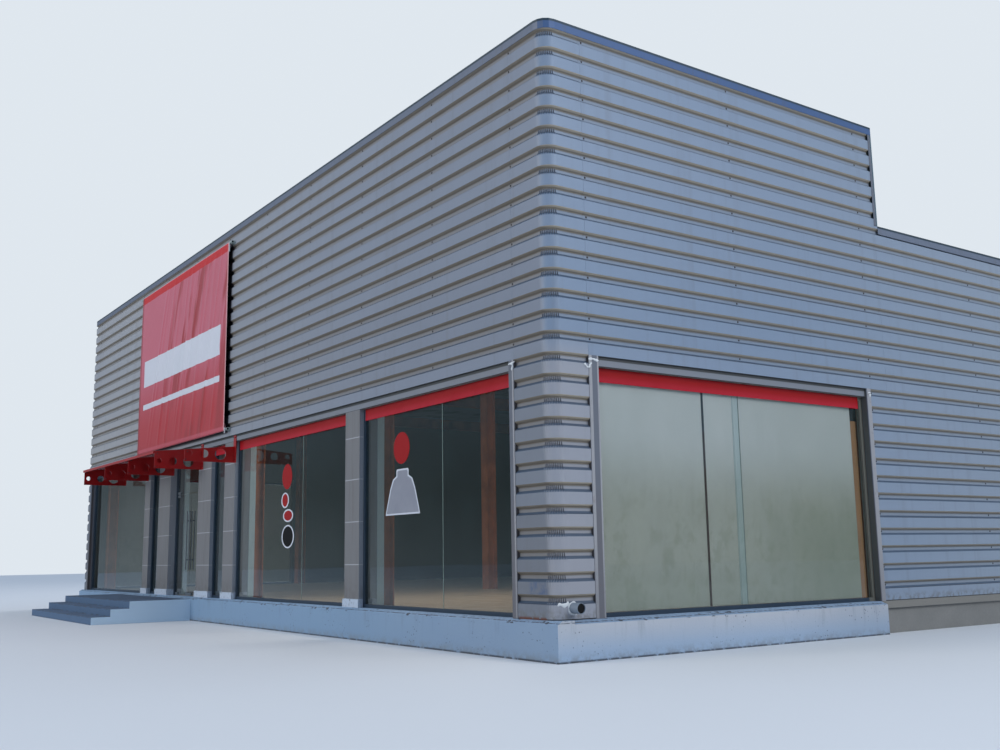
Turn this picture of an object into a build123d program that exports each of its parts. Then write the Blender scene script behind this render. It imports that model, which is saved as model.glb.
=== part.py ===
from build123d import *
import math
import os

# Showroom with a tall clad front volume, a lower rear volume and a glazed shop front.
# Millimetres. X runs along the front, Y runs from the front to the rear, Z is up.
# The origin is on the ground, in the middle of the underside of the front plinth.

# Plan and heights
FRONT_LENGTH = 20120.0      # crown face to crown face along the front
SIDE_DEPTH = 15000.0        # crown face to crown face, front to rear
HIGH_DEPTH = 6360.0         # front face to the end of the tall parapet
WINDOW_RIBS = 12            # cladding ribs beside the windows
HIGH_RISE = 4120.0          # window head line to the top of the tall parapet
LOW_RISE = 2540.0           # window head line to the top of the low parapet

# Profiled cladding sheet
RIB_PITCH = 250.0
RIB_CROWN = 145.0
RIB_WEB = 30.0
RIB_DEPTH = 40.0
SHEET = 3.0
BEND_RADIUS = 180.0
BEND_FACETS = 4             # flat facets between the crimps of a bend
FOOT_CROWN = 25.0           # extra height of the lowest crown
CORNER_FRONT = 715.0        # corner sheet, leg along the front at the right
CORNER_FRONT_LEFT = 340.0   # corner sheet, leg along the front at the left
CORNER_SIDE = 570.0         # corner sheet, leg along each side
SEAM = 2.0                  # gap between neighbouring sheets

# Plinth, floor and entrance steps
PLINTH_HEIGHT = 410.0
PLINTH_FALL = 40.0          # rise of the sloped top towards the wall
PLINTH_OUT = 60.0           # ahead of the front crowns
PLINTH_OUT_SIDE = 100.0     # ahead of the side crowns
PLINTH_IN = 180.0
SLAB = 200.0
REAR_BASE_SET = 50.0        # plain base, set back under the cladding
REAR_LEDGE = 100.0          # height of its upper edge, which stands out to the crowns
STEPS = 3                   # risers up to the landing
LANDING_OUT = 1180.0
TREAD = 350.0
STEPS_RIGHT = 11630.0       # from the right corner
STEPS_WIDTH = 5000.0

# Inner wall lining
LINER = 100.0
LINER_LEG = 50.0            # of the corner lining, along the side behind its bend

# Shop front, all measured from the right corner along the front
HEAD_BAND = 120.0
PIER_SET = 30.0             # pier and band faces behind the crown plane
PIER_DEPTH = 300.0
PIERS = ((4700.0, 5160.0), (9680.0, 10200.0), (10910.0, 11630.0),
         (13370.0, 14130.0), (14760.0, 15150.0))
PIER_FOOT = 120.0
PIER_FOOT_OUT = 22.0
TRIM_FRONT = 95.0           # at both ends of the shop front
TRIM_NEAR = 145.0           # at the front end of a side window
TRIM_FAR = 100.0            # at its rear end
TRIM_PROUD = 6.0
TRIM_SHEET = 4.0
GLASS_SET = 130.0
DOOR_SET = 200.0
FRAME_FACE = 50.0
FRAME_DEPTH = 60.0
GLASS = 12.0
PANE_GAP = 6.0
SIDE_WINDOW_END = 5790.0
SIDE_PANE_SPLIT = (2545.0, 3105.0)
RIGHT_PANE = 1660.0         # width of the right-hand pane of the two large windows

# Entrance doors
LEAF_HEIGHT = 2085.0
DOOR_GAP = 8.0
PIVOT_IN = 60.0
PATCH_LENGTH = 160.0
PATCH_HEIGHT = 52.0
PATCH_COVER = 10.0
PATCH_NOTCH = 20.0
PIVOT_RADIUS = 10.0
PIVOT_CLEAR = 0.3
HANDLE_LENGTH = 1200.0
HANDLE_WIDTH = 32.0
HANDLE_THICK = 14.0
HANDLE_OFF = 55.0
HANDLE_LOW = 525.0

# Steel frame
COLUMN_DEPTH = 230.0
COLUMN_WIDTH = 240.0
COLUMN_WEB = 10.0
COLUMN_FLANGE = 16.0
BEAM_DEPTH = 300.0
BEAM_WIDTH = 200.0
BEAM_WEB = 10.0
BEAM_FLANGE = 15.0
LINES_FROM_RIGHT = (410.0, 4930.0, 9940.0)      # frame lines from the right corner
LINES_FROM_LEFT = (5160.0, 410.0)               # frame lines from the left corner
FRONT_ROW = 570.0
MIDDLE_ROW = HIGH_DEPTH - 410.0
REAR_ROW = SIDE_DEPTH - 500.0

# Roofs and copings
ROOF_PANEL = 100.0
ROOF_RIB = 40.0
ROOF_RIB_BASE = 90.0
ROOF_RIB_TOP = 40.0
ROOF_RIB_PITCH = 1000.0
ROOF_BELOW = 400.0          # roof surface below the parapet top
COPING_FACE = 125.0
COPING_SHEET = 4.0
COPING_CLEAR = 0.3
COPING_BACK = 90.0
END_TRIM = 75.0

# Canopy over the entrance
BRACKETS = 5
BRACKET_FIRST = 9690.0      # from the right corner
BRACKET_PITCH = 1760.0
BRACKET_REACH = 960.0
BRACKET_ROOT = 425.0
BRACKET_FALL = 90.0
BRACKET_PLATE = 12.0
BRACKET_TOP = 100.0         # top of the bracket below the window head line
END_DROP = 120.0            # the first bracket is lower at its top, and carries no cover
BRACKET_HOLES = ((285.0, 105.0), (590.0, 75.0), (865.0, 48.0))  # distance from the wall, radius
HOLE_RISE = 150.0           # hole centres above the level lower edge
WALL_PLATE = 12.0
WALL_PLATE_WIDTH = 120.0
WALL_PLATE_BELOW = 15.0     # its top edge below the window head line
RAIL_HEIGHT = 50.0
RAIL_DEPTH = 30.0
COVER = 8.0
COVER_GAP = 20.0

# Banner
BANNER_RIGHT = 10000.0      # from the right corner
BANNER_WIDTH = 5500.0
BANNER_LOW = 60.0           # above the window head line
BANNER_HEIGHT = 3760.0
BANNER_OUT = 90.0
BANNER_THICK = 14.0
TUBE_RADIUS = 24.0
TUBE_PAST = 130.0
TUBE_LOW = 70.0             # lower tube above the foot of the banner
TUBE_TOP = 26.0             # upper tube below the head of the banner
CLAMP = 70.0

# Drain outlet in the corner sheet
PIPE_RADIUS = 60.0
PIPE_WALL = 5.0
PIPE_OUT = 145.0
PIPE_BEHIND = 61.0          # pipe axis behind the end of the bend
PIPE_HEIGHT = 130.0         # above the bottom of the cladding

# Derived places
WALL_BASE = PLINTH_HEIGHT + PLINTH_FALL
RIB_BASE = WALL_BASE + FOOT_CROWN
HEAD = RIB_BASE + WINDOW_RIBS * RIB_PITCH
HIGH_TOP = HEAD + HIGH_RISE
LOW_TOP = HEAD + LOW_RISE
GLAZING_TOP = HEAD - HEAD_BAND
STEP_RISE = PLINTH_HEIGHT / STEPS
RIB_VALLEY = RIB_PITCH - RIB_CROWN - 2 * RIB_WEB
X_RIGHT = FRONT_LENGTH / 2
X_LEFT = -X_RIGHT
Y_FRONT = -(PLINTH_IN - PLINTH_OUT) / 2
Y_REAR = Y_FRONT + SIDE_DEPTH
Y_STEP = Y_FRONT + HIGH_DEPTH
LINER_FACE = RIB_DEPTH + SHEET
LINER_BACK = LINER_FACE + LINER
LAP = COPING_SHEET + COPING_CLEAR
HIGH_ROOF = HIGH_TOP - ROOF_BELOW
LOW_ROOF = LOW_TOP - ROOF_BELOW
WINDOW_SIDE_END = Y_FRONT + SIDE_WINDOW_END


def from_right(distance):
    """X of a point measured along the front from the right corner."""
    return X_RIGHT - distance


def block(x0, x1, y0, y1, z0, z1):
    """A box between two opposite corners."""
    size = (abs(x1 - x0), abs(y1 - y0), abs(z1 - z0))
    return Pos((x0 + x1) / 2, (y0 + y1) / 2, (z0 + z1) / 2) * Box(*size)


def prism(points, run):
    """A closed outline of 3D points carried along a vector."""
    outline = make_face(Polyline(*points, close=True))
    return extrude(outline, amount=Vector(*run).length, dir=Vector(*run).normalized())


def both_sides(shape):
    """A right-hand shape and its mirror image on the left side."""
    return [shape, mirror(shape, about=Plane.YZ)]


def save(name, solids):
    """Write one node from a solid or a list of separate solids."""
    shapes = solids if isinstance(solids, list) else [solids]
    parts = [solid for shape in shapes for solid in shape.solids()]
    export_step(Compound(children=parts) if len(parts) > 1 else parts[0], f"parts/{name}.step")


# Cladding profile

def rib_depth(z):
    """Depth of the outer sheet face behind the crown plane at height z."""
    s = max(z - RIB_BASE, 0.0) % RIB_PITCH
    if s <= RIB_CROWN:
        return 0.0
    if s <= RIB_CROWN + RIB_WEB:
        return RIB_DEPTH * (s - RIB_CROWN) / RIB_WEB
    if s <= RIB_CROWN + RIB_WEB + RIB_VALLEY:
        return RIB_DEPTH
    return RIB_DEPTH * (RIB_PITCH - s) / RIB_WEB


def rib_heights(low, high):
    """Heights of the folds of the profile between two levels, with both ends."""
    folds = (0.0, RIB_CROWN, RIB_CROWN + RIB_WEB, RIB_CROWN + RIB_WEB + RIB_VALLEY)
    count = math.ceil((high - RIB_BASE) / RIB_PITCH) + 1
    inside = [RIB_BASE + i * RIB_PITCH + fold for i in range(count) for fold in folds]
    first = max(low, RIB_BASE) + 1
    return [low] + [z for z in inside if first < z < high - 1] + [high]


def sheet_section(x, y, inward, low, high):
    """Folded sheet section standing at a plan point, ribs facing away from inward."""
    heights = rib_heights(low, high)
    outer = [(rib_depth(z), z) for z in heights]
    inner = [(rib_depth(z) + SHEET, z) for z in reversed(heights)]
    return [(x + d * inward[0], y + d * inward[1], z) for d, z in outer + inner]


def straight_sheet(start, end, inward, low, high):
    """Flat run of cladding between two plan points on the crown plane."""
    run = (end[0] - start[0], end[1] - start[1], 0)
    return prism(sheet_section(*start, inward, low, high), run)


def bend_points():
    """Plan points of the right bend on the crown plane, from the front round to the side."""
    centre_x, centre_y = X_RIGHT - BEND_RADIUS, Y_FRONT + BEND_RADIUS
    turns = [math.radians(90 * i / BEND_FACETS) for i in range(BEND_FACETS + 1)]
    return [(centre_x + BEND_RADIUS * math.sin(t), centre_y - BEND_RADIUS * math.cos(t)) for t in turns]


def carried(section, plan_points, low):
    """A section carried along a plan route with mitred turns."""
    route = Polyline(*[(x, y, low) for x, y in plan_points])
    return sweep(make_face(Polyline(*section, close=True)), path=route, transition=Transition.RIGHT)


def corner_sheet(front_leg):
    """Right corner sheet on its filler: a leg on the front, a crimped bend and a leg on the side."""
    start = (X_RIGHT - front_leg, Y_FRONT)
    top = HIGH_TOP - LAP
    ribs = [(start[0], start[1] + rib_depth(z), z) for z in rib_heights(WALL_BASE, top)]
    back = start[1] + LINER_FACE
    section = ribs + [(start[0], back, top), (start[0], back, WALL_BASE)]
    return carried(section, [start] + bend_points() + [(X_RIGHT, Y_FRONT + CORNER_SIDE)], WALL_BASE)


# Base

def plinth_section(x, y, inward, base_out):
    """Plinth section with a sloped top outside the wall, base_out ahead of the crown plane."""
    points = [(-base_out, 0), (-base_out, PLINTH_HEIGHT), (SHEET, WALL_BASE)]
    if base_out < 0:
        ledge = WALL_BASE - REAR_LEDGE
        points = [(-base_out, 0), (-base_out, ledge), (0, ledge), (0, WALL_BASE)]
    points += [(PLINTH_IN, WALL_BASE), (PLINTH_IN, 0)]
    return [(x + d * inward[0], y + d * inward[1], z) for d, z in points]


def plinth_front():
    """Front plinth, full width with square ends."""
    section = plinth_section(X_LEFT - PLINTH_OUT_SIDE, Y_FRONT, (0, 1), PLINTH_OUT)
    return prism(section, (FRONT_LENGTH + 2 * PLINTH_OUT_SIDE, 0, 0))


def plinth_side():
    """Right plinth: projecting beside the window, set back and plain behind it."""
    start = Y_FRONT + PLINTH_IN
    white = prism(plinth_section(X_RIGHT, start, (-1, 0), PLINTH_OUT_SIDE), (0, WINDOW_SIDE_END - start, 0))
    plain = prism(plinth_section(X_RIGHT, WINDOW_SIDE_END, (-1, 0), -REAR_BASE_SET),
                  (0, Y_REAR - PLINTH_IN - WINDOW_SIDE_END, 0))
    return white + plain


def plinth_rear():
    """Rear base, set back under the cladding."""
    section = plinth_section(X_LEFT + REAR_BASE_SET, Y_REAR, (0, -1), -REAR_BASE_SET)
    return prism(section, (FRONT_LENGTH - 2 * REAR_BASE_SET, 0, 0))


def floor_slab():
    """Floor slab inside the plinths, its top level with the wall base."""
    return block(X_LEFT + PLINTH_IN, X_RIGHT - PLINTH_IN, Y_FRONT + PLINTH_IN, Y_REAR - PLINTH_IN,
                 WALL_BASE - SLAB, WALL_BASE)


def entrance_steps():
    """Landing and two lower treads, one stepped casting in front of the plinth."""
    back = Y_FRONT - PLINTH_OUT
    x = from_right(STEPS_RIGHT)
    outline = [(back, 0), (back, PLINTH_HEIGHT)]
    front = back - LANDING_OUT
    for level in range(STEPS, 0, -1):
        outline += [(front, level * STEP_RISE), (front, (level - 1) * STEP_RISE)]
        front -= TREAD
    return prism([(x, y, z) for y, z in outline], (-STEPS_WIDTH, 0, 0))


# Steel frame

def i_section(x, y, z, width, depth, web, flange, across, along):
    """Outline of an I-shaped section centred on a point, flanges across, web along."""
    w, d, t, f = width / 2, depth / 2, web / 2, flange
    half = [(-w, -d), (w, -d), (w, f - d), (t, f - d), (t, d - f), (w, d - f), (w, d), (-w, d),
            (-w, d - f), (-t, d - f), (-t, f - d), (-w, f - d)]
    return [(x + a * across[0] + b * along[0], y + a * across[1] + b * along[1],
             z + a * across[2] + b * along[2]) for a, b in half]


def column(x, y, top):
    """Column of I section standing on the floor slab."""
    outline = i_section(x, y, WALL_BASE, COLUMN_WIDTH, COLUMN_DEPTH, COLUMN_WEB, COLUMN_FLANGE,
                        (1, 0, 0), (0, 1, 0))
    return prism(outline, (0, 0, top - WALL_BASE))


def grid_lines():
    """X of each frame line."""
    return [from_right(a) for a in LINES_FROM_RIGHT] + [X_LEFT + a for a in LINES_FROM_LEFT]


def high_beam_base():
    """Underside of the beams of the tall volume."""
    return HIGH_ROOF - ROOF_PANEL - BEAM_DEPTH


def low_beam_base():
    """Underside of the beams of the low volume."""
    return LOW_ROOF - ROOF_PANEL - BEAM_DEPTH


def columns():
    """Front and middle rows up to the tall beams, rear row up to the low beams."""
    rows = ((FRONT_ROW, high_beam_base()), (MIDDLE_ROW, high_beam_base()),
            (REAR_ROW, low_beam_base()))
    return [column(x, Y_FRONT + y, top) for x in grid_lines() for y, top in rows]


def beam(x, start, end, base):
    """Beam of I section running from front to rear."""
    outline = i_section(x, Y_FRONT + start, base + BEAM_DEPTH / 2, BEAM_WIDTH, BEAM_DEPTH,
                        BEAM_WEB, BEAM_FLANGE, (1, 0, 0), (0, 0, 1))
    return prism(outline, (0, end - start, 0))


def high_beams():
    """Beams of the tall volume on the front and middle columns."""
    over = COLUMN_DEPTH / 2
    return [beam(x, FRONT_ROW - over, MIDDLE_ROW + over, high_beam_base()) for x in grid_lines()]


def low_beams():
    """Beams of the low volume between the middle and rear columns."""
    over = COLUMN_DEPTH / 2
    return [beam(x, MIDDLE_ROW + over, REAR_ROW + over, low_beam_base()) for x in grid_lines()]


# Walls

def clad_front():
    """Front sheets above the shop front, between the two corner sheets."""
    left = X_LEFT + CORNER_FRONT_LEFT + SEAM
    right = X_RIGHT - CORNER_FRONT - SEAM
    return straight_sheet((left, Y_FRONT), (right, Y_FRONT), (0, 1), HEAD, HIGH_TOP - LAP)


def clad_side_high():
    """Right side sheets above the window, up to the tall parapet."""
    start = Y_FRONT + CORNER_SIDE + SEAM
    return straight_sheet((X_RIGHT, start), (X_RIGHT, Y_STEP - END_TRIM), (-1, 0), HEAD, HIGH_TOP - LAP)


def clad_side_low():
    """Right side sheets behind the window: full height below the low parapet."""
    start = WINDOW_SIDE_END + TRIM_FAR + SEAM
    step = Y_STEP - END_TRIM + SEAM
    rear = Y_REAR - RIB_DEPTH - 2 * SHEET
    lower = straight_sheet((X_RIGHT, start), (X_RIGHT, rear), (-1, 0), WALL_BASE, HEAD - SEAM)
    upper = straight_sheet((X_RIGHT, step), (X_RIGHT, rear), (-1, 0), HEAD - SEAM, LOW_TOP - LAP)
    return lower + upper


def clad_rear():
    """Rear sheets up to the low parapet."""
    end = X_RIGHT - RIB_DEPTH - 2 * SHEET
    return straight_sheet((-end, Y_REAR), (end, Y_REAR), (0, -1), WALL_BASE, LOW_TOP - LAP)


def clad_high_rear():
    """Rear face of the tall volume above the low roof."""
    edge = X_RIGHT - RIB_DEPTH - 2 * SHEET
    inside = X_RIGHT - LINER_BACK - COPING_SHEET - 2 * COPING_CLEAR
    low, split = LOW_ROOF + ROOF_RIB + SEAM, LOW_TOP + COPING_CLEAR
    lower = straight_sheet((-inside, Y_STEP), (inside, Y_STEP), (0, -1), low, split)
    upper = straight_sheet((-edge, Y_STEP), (edge, Y_STEP), (0, -1), split, HIGH_TOP - LAP)
    return lower + upper


def corner_cap(y, low, high):
    """Square corner flashing over the sheet ends at the right, in plan an L whose corner is at y."""
    x_out, y_out = X_RIGHT + LAP, y + LAP
    leg, t = END_TRIM + LAP, COPING_SHEET
    points = [(x_out, y_out), (x_out, y_out - leg), (x_out - t, y_out - leg), (x_out - t, y_out - t),
              (x_out - leg, y_out - t), (x_out - leg, y_out)]
    return prism([(a, b, low) for a, b in points], (0, 0, high - low))


def liner_side():
    """Right lining from the corner lining to the rear, with the window cut out at its front."""
    x = X_RIGHT - LINER_FACE
    front = Y_FRONT + BEND_RADIUS + LINER_LEG
    rear = Y_REAR - LINER_FACE
    start = Y_FRONT + CORNER_SIDE
    end = WINDOW_SIDE_END + TRIM_FAR
    near, far = start + TRIM_NEAR, WINDOW_SIDE_END
    outline = [(front, WALL_BASE), (start, WALL_BASE), (start, HEAD), (near, HEAD),
               (near, GLAZING_TOP), (far, GLAZING_TOP), (far, HEAD), (end, HEAD),
               (end, WALL_BASE), (rear, WALL_BASE), (rear, LOW_TOP - 2 * LAP),
               (Y_STEP - LINER_FACE, LOW_TOP - 2 * LAP), (Y_STEP - LINER_FACE, HIGH_TOP - 2 * LAP),
               (front, HIGH_TOP - 2 * LAP)]
    return prism([(x, y, z) for y, z in outline], (-LINER, 0, 0))


def liner_front():
    """Front lining over the shop front."""
    y = Y_FRONT + LINER_FACE
    left = X_LEFT + CORNER_FRONT_LEFT + TRIM_FRONT
    right = X_RIGHT - CORNER_FRONT - TRIM_FRONT
    return block(left, right, y, y + LINER, GLAZING_TOP, HIGH_TOP - 2 * LAP)


def liner_corner(front_leg):
    """Right corner lining: a leg beside the shop front, a bend and a short leg on the side."""
    top = HIGH_TOP - 2 * LAP
    start = X_RIGHT - front_leg
    y = Y_FRONT + LINER_FACE
    section = [(start, y, WALL_BASE), (start, y + LINER, WALL_BASE),
               (start, y + LINER, top), (start, y, top)]
    route = [(start, Y_FRONT)] + bend_points() + [(X_RIGHT, Y_FRONT + BEND_RADIUS + LINER_LEG)]
    bend = carried(section, route, WALL_BASE)
    return bend + block(start - TRIM_FRONT, start, y, y + LINER, HEAD, top)


def liner_rear():
    """Rear lining between the side linings."""
    return block(X_LEFT + LINER_BACK, X_RIGHT - LINER_BACK, Y_REAR - LINER_BACK, Y_REAR - LINER_FACE,
                 WALL_BASE, LOW_TOP - 2 * LAP)


def liner_high_rear():
    """Lining behind the rear face of the tall volume, standing on the low roof line."""
    return block(X_LEFT + LINER_BACK, X_RIGHT - LINER_BACK, Y_STEP - LINER_BACK, Y_STEP - LINER_FACE,
                 LOW_ROOF - ROOF_PANEL, HIGH_TOP - 2 * LAP)


# Roofs

def roof(start, end, top):
    """Ribbed roof panels between the linings, ribs running from front to rear."""
    left = X_LEFT + LINER_BACK
    right = X_RIGHT - LINER_BACK
    count = int((right - left - ROOF_RIB_BASE) // ROOF_RIB_PITCH) + 1
    first = (left + right - (count - 1) * ROOF_RIB_PITCH) / 2
    outline = [(left, top - ROOF_PANEL), (left, top)]
    for i in range(count):
        x = first + i * ROOF_RIB_PITCH
        outline += [(x - ROOF_RIB_BASE / 2, top), (x - ROOF_RIB_TOP / 2, top + ROOF_RIB),
                    (x + ROOF_RIB_TOP / 2, top + ROOF_RIB), (x + ROOF_RIB_BASE / 2, top)]
    outline += [(right, top), (right, top - ROOF_PANEL)]
    return prism([(x, start, z) for x, z in outline], (0, end - start, 0))


def roof_high():
    """Roof of the tall volume, relieved at its front corners for the bends of the lining."""
    panel = roof(Y_FRONT + LINER_BACK, Y_STEP - LINER_BACK, HIGH_ROOF)
    edge_x, edge_y = X_RIGHT - LINER_BACK, Y_FRONT + LINER_BACK
    relief = BEND_RADIUS - LINER_BACK + LINER_BACK * math.tan(math.radians(90 / BEND_FACETS / 4))
    notch = block(edge_x - relief, edge_x, edge_y, edge_y + relief, HIGH_ROOF - ROOF_PANEL, HIGH_ROOF)
    for corner in both_sides(notch):
        panel -= corner
    return panel


# Copings and trims

def coping_section(x, y, inward, top):
    """Folded coping over the wall head: face, top and back leg."""
    o, t = LAP, COPING_SHEET
    back = LINER_BACK + COPING_CLEAR
    points = [(-o, top - COPING_FACE), (-o, top), (back + t, top), (back + t, top - COPING_BACK),
              (back, top - COPING_BACK), (back, top - t), (t - o, top - t), (t - o, top - COPING_FACE)]
    return [(x + d * inward[0], y + d * inward[1], z) for d, z in points]


def coping_end(y, top):
    """Plate that closes the end of a right-hand coping at the outer rear edge y."""
    back = LINER_BACK + COPING_CLEAR + COPING_SHEET
    return block(X_RIGHT - back, X_RIGHT + LAP, y, y + COPING_SHEET, top - COPING_FACE, top)


def coping_high():
    """Coping of the tall parapet: along one side, round both bends, back along the other side."""
    end = Y_STEP + COPING_CLEAR
    right = bend_points() + [(X_RIGHT, end)]
    left = [(-x, y) for x, y in reversed(right)]
    coping = carried(coping_section(X_LEFT, end, (1, 0), HIGH_TOP), left + right, HIGH_TOP)
    for plate in both_sides(coping_end(end, HIGH_TOP)):
        coping += plate
    for way in both_sides(rear_coping_way(Y_STEP, HIGH_TOP)):
        coping -= way
    return coping


def rear_coping_way(y, top):
    """Space in the back leg of a right-hand coping that the rear wall passes through."""
    back = LINER_BACK + COPING_CLEAR
    return block(X_RIGHT - back - 2 * COPING_SHEET, X_RIGHT - back + COPING_SHEET / 2, y - back, y,
                 top - COPING_FACE, top - COPING_SHEET)


def rear_coping(y, top):
    """Coping over a rear wall head, between the side copings."""
    x = X_RIGHT - LINER_BACK - COPING_CLEAR - COPING_SHEET - SEAM
    return prism(coping_section(-x, y, (0, -1), top), (2 * x, 0, 0))


def coping_low_side():
    """Coping of the low parapet along the right side."""
    start = Y_STEP + LAP + SEAM
    end = Y_REAR + COPING_CLEAR
    side = prism(coping_section(X_RIGHT, start, (-1, 0), LOW_TOP), (0, end - start, 0))
    side -= rear_coping_way(Y_REAR, LOW_TOP)
    return side + coping_end(end, LOW_TOP)


def parapet_end_trim():
    """Upright flashing where the tall parapet ends on the right side."""
    return corner_cap(Y_STEP, LOW_TOP + SEAM, HIGH_TOP - COPING_FACE - SEAM)


def rear_corner_trim():
    """Upright flashing at the right rear corner."""
    return corner_cap(Y_REAR, WALL_BASE, LOW_TOP - COPING_FACE - SEAM)


def channel(x, y, width, along, inward, low, high):
    """Folded trim at a window edge: an open channel, its face towards the outside."""
    depth = GLASS_SET - FRAME_DEPTH / 2 + TRIM_PROUD - SEAM
    t = TRIM_SHEET
    points = [(0, 0), (width, 0), (width, depth), (width - t, depth),
              (width - t, t), (t, t), (t, depth), (0, depth)]
    outline = [(x + a * along[0] + (d - TRIM_PROUD) * inward[0],
                y + a * along[1] + (d - TRIM_PROUD) * inward[1], low) for a, d in points]
    return prism(outline, (0, 0, high - low))


def window_trims():
    """Upright trims where the cladding stops beside the glazing."""
    side, front, span = (0, 1), (-1, 0), (WALL_BASE, HEAD)
    side_start = channel(X_RIGHT, Y_FRONT + CORNER_SIDE, TRIM_NEAR, side, front, *span)
    side_end = channel(X_RIGHT, WINDOW_SIDE_END, TRIM_FAR, side, front, *span)
    front_right = channel(X_RIGHT - CORNER_FRONT, Y_FRONT, TRIM_FRONT, front, side, *span)
    front_left = channel(X_LEFT + CORNER_FRONT_LEFT, Y_FRONT, TRIM_FRONT, (1, 0), side, *span)
    return [front_right, front_left] + both_sides(side_start) + both_sides(side_end)


def head_bands():
    """Flat flashing between the lowest rib and the glazing, front and sides."""
    left = X_LEFT + CORNER_FRONT_LEFT + TRIM_FRONT + SEAM
    right = X_RIGHT - CORNER_FRONT - TRIM_FRONT - SEAM
    t = TRIM_SHEET
    face = Y_FRONT + PIER_SET
    front = block(left, right, face, face + t, GLAZING_TOP, HEAD)
    front += block(left, right, face + t, Y_FRONT + LINER_FACE, GLAZING_TOP, GLAZING_TOP + t)
    start = Y_FRONT + CORNER_SIDE + TRIM_NEAR + SEAM
    near = X_RIGHT - PIER_SET
    side = block(near - t, near, start, WINDOW_SIDE_END - SEAM, GLAZING_TOP, HEAD)
    side += block(X_RIGHT - LINER_FACE, near - t, start, WINDOW_SIDE_END - SEAM,
                  GLAZING_TOP, GLAZING_TOP + t)
    return [front] + both_sides(side)


# Shop front

def piers():
    """Panelled piers between the front openings, each on a wider foot block."""
    face = Y_FRONT + PIER_SET
    shapes = []
    for near, far in PIERS:
        x0, x1 = from_right(far), from_right(near)
        shaft = block(x0, x1, face, face + PIER_DEPTH, WALL_BASE, GLAZING_TOP)
        foot = block(x0 - PIER_FOOT_OUT, x1 + PIER_FOOT_OUT, face - PIER_FOOT_OUT, face + PIER_SET,
                     WALL_BASE, WALL_BASE + PIER_FOOT)
        shapes.append(shaft + foot)
    return shapes


def front_bays():
    """Openings of the shop front from right to left, as pairs of X."""
    edges = [CORNER_FRONT + TRIM_FRONT] + [edge for pier in PIERS for edge in pier]
    edges.append(FRONT_LENGTH - CORNER_FRONT_LEFT - TRIM_FRONT)
    return [(from_right(edges[i + 1]), from_right(edges[i])) for i in range(0, len(edges), 2)]


def front_frame(x0, x1, set_back, low, high):
    """Rectangular glazing frame in a front opening."""
    y = Y_FRONT + set_back - FRAME_DEPTH / 2
    outer = block(x0, x1, y, y + FRAME_DEPTH, low, high)
    f = FRAME_FACE
    return outer - block(x0 + f, x1 - f, y - 1, y + FRAME_DEPTH + 1, low + f, high - f)


def window_frames():
    """Frames of the five fixed front openings."""
    bays = front_bays()
    fixed = [bays[0], bays[1], bays[2], bays[4], bays[5]]
    top = GLAZING_TOP - SEAM
    return [front_frame(x0 + SEAM, x1 - SEAM, GLASS_SET, WALL_BASE, top) for x0, x1 in fixed]


def front_pane(x0, x1, set_back, low, high):
    """Glass sheet between two X places."""
    y = Y_FRONT + set_back
    return block(x0, x1, y - GLASS / 2, y + GLASS / 2, low, high)


def window_glass():
    """Front glass, the two large windows in two butted panes each."""
    edge = FRAME_FACE + SEAM
    low, high = WALL_BASE + FRAME_FACE, GLAZING_TOP - SEAM - FRAME_FACE
    bays = front_bays()
    panes = []
    for i in (0, 1, 2, 4, 5):
        x0, x1 = bays[i][0] + edge, bays[i][1] - edge
        cuts = [x0, x1]
        if i in (0, 1):
            cuts = [x0, x1 - RIGHT_PANE, x1]
        for a, b in zip(cuts, cuts[1:]):
            gap_a = PANE_GAP / 2 if a != x0 else 0
            gap_b = PANE_GAP / 2 if b != x1 else 0
            panes.append(front_pane(a + gap_a, b - gap_b, GLASS_SET, low, high))
    return panes


def side_window_frame():
    """Frame of the long side window."""
    y0, y1 = Y_FRONT + CORNER_SIDE + TRIM_NEAR + SEAM, WINDOW_SIDE_END - SEAM
    x = X_RIGHT - GLASS_SET
    f = FRAME_FACE
    low, high = WALL_BASE, GLAZING_TOP - SEAM
    outer = block(x - FRAME_DEPTH / 2, x + FRAME_DEPTH / 2, y0, y1, low, high)
    return outer - block(x - FRAME_DEPTH, x + FRAME_DEPTH, y0 + f, y1 - f, low + f, high - f)


def side_window_glass():
    """Glass of the side window in three butted panes."""
    f = FRAME_FACE + SEAM
    x = X_RIGHT - GLASS_SET
    start, end = Y_FRONT + CORNER_SIDE + TRIM_NEAR + f, WINDOW_SIDE_END - f
    cuts = [start] + [Y_FRONT + split for split in SIDE_PANE_SPLIT] + [end]
    panes = []
    for a, b in zip(cuts, cuts[1:]):
        gap_a = PANE_GAP / 2 if a != start else 0
        gap_b = PANE_GAP / 2 if b != end else 0
        panes.append(block(x - GLASS / 2, x + GLASS / 2, a + gap_a, b - gap_b,
                           WALL_BASE + FRAME_FACE, GLAZING_TOP - SEAM - FRAME_FACE))
    return panes


# Entrance doors

def door_bay():
    """X of the door opening between its piers."""
    return front_bays()[3]


def door_posts():
    """The two upright posts of the door opening."""
    x0, x1 = door_bay()
    y = Y_FRONT + DOOR_SET - FRAME_DEPTH / 2
    top = GLAZING_TOP - SEAM
    return [block(x0, x0 + FRAME_FACE, y, y + FRAME_DEPTH, WALL_BASE, top),
            block(x1 - FRAME_FACE, x1, y, y + FRAME_DEPTH, WALL_BASE, top)]


def door_head():
    """Head of the door frame between the posts."""
    x0, x1 = door_bay()
    y = Y_FRONT + DOOR_SET - FRAME_DEPTH / 2
    top = GLAZING_TOP - SEAM
    return block(x0 + FRAME_FACE, x1 - FRAME_FACE, y, y + FRAME_DEPTH, top - FRAME_FACE, top)


def leaf_span():
    """X of the left leaf from its hinge side to its meeting edge."""
    x0, x1 = door_bay()
    return x0 + FRAME_FACE + DOOR_GAP, (x0 + x1) / 2 - DOOR_GAP / 2


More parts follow.
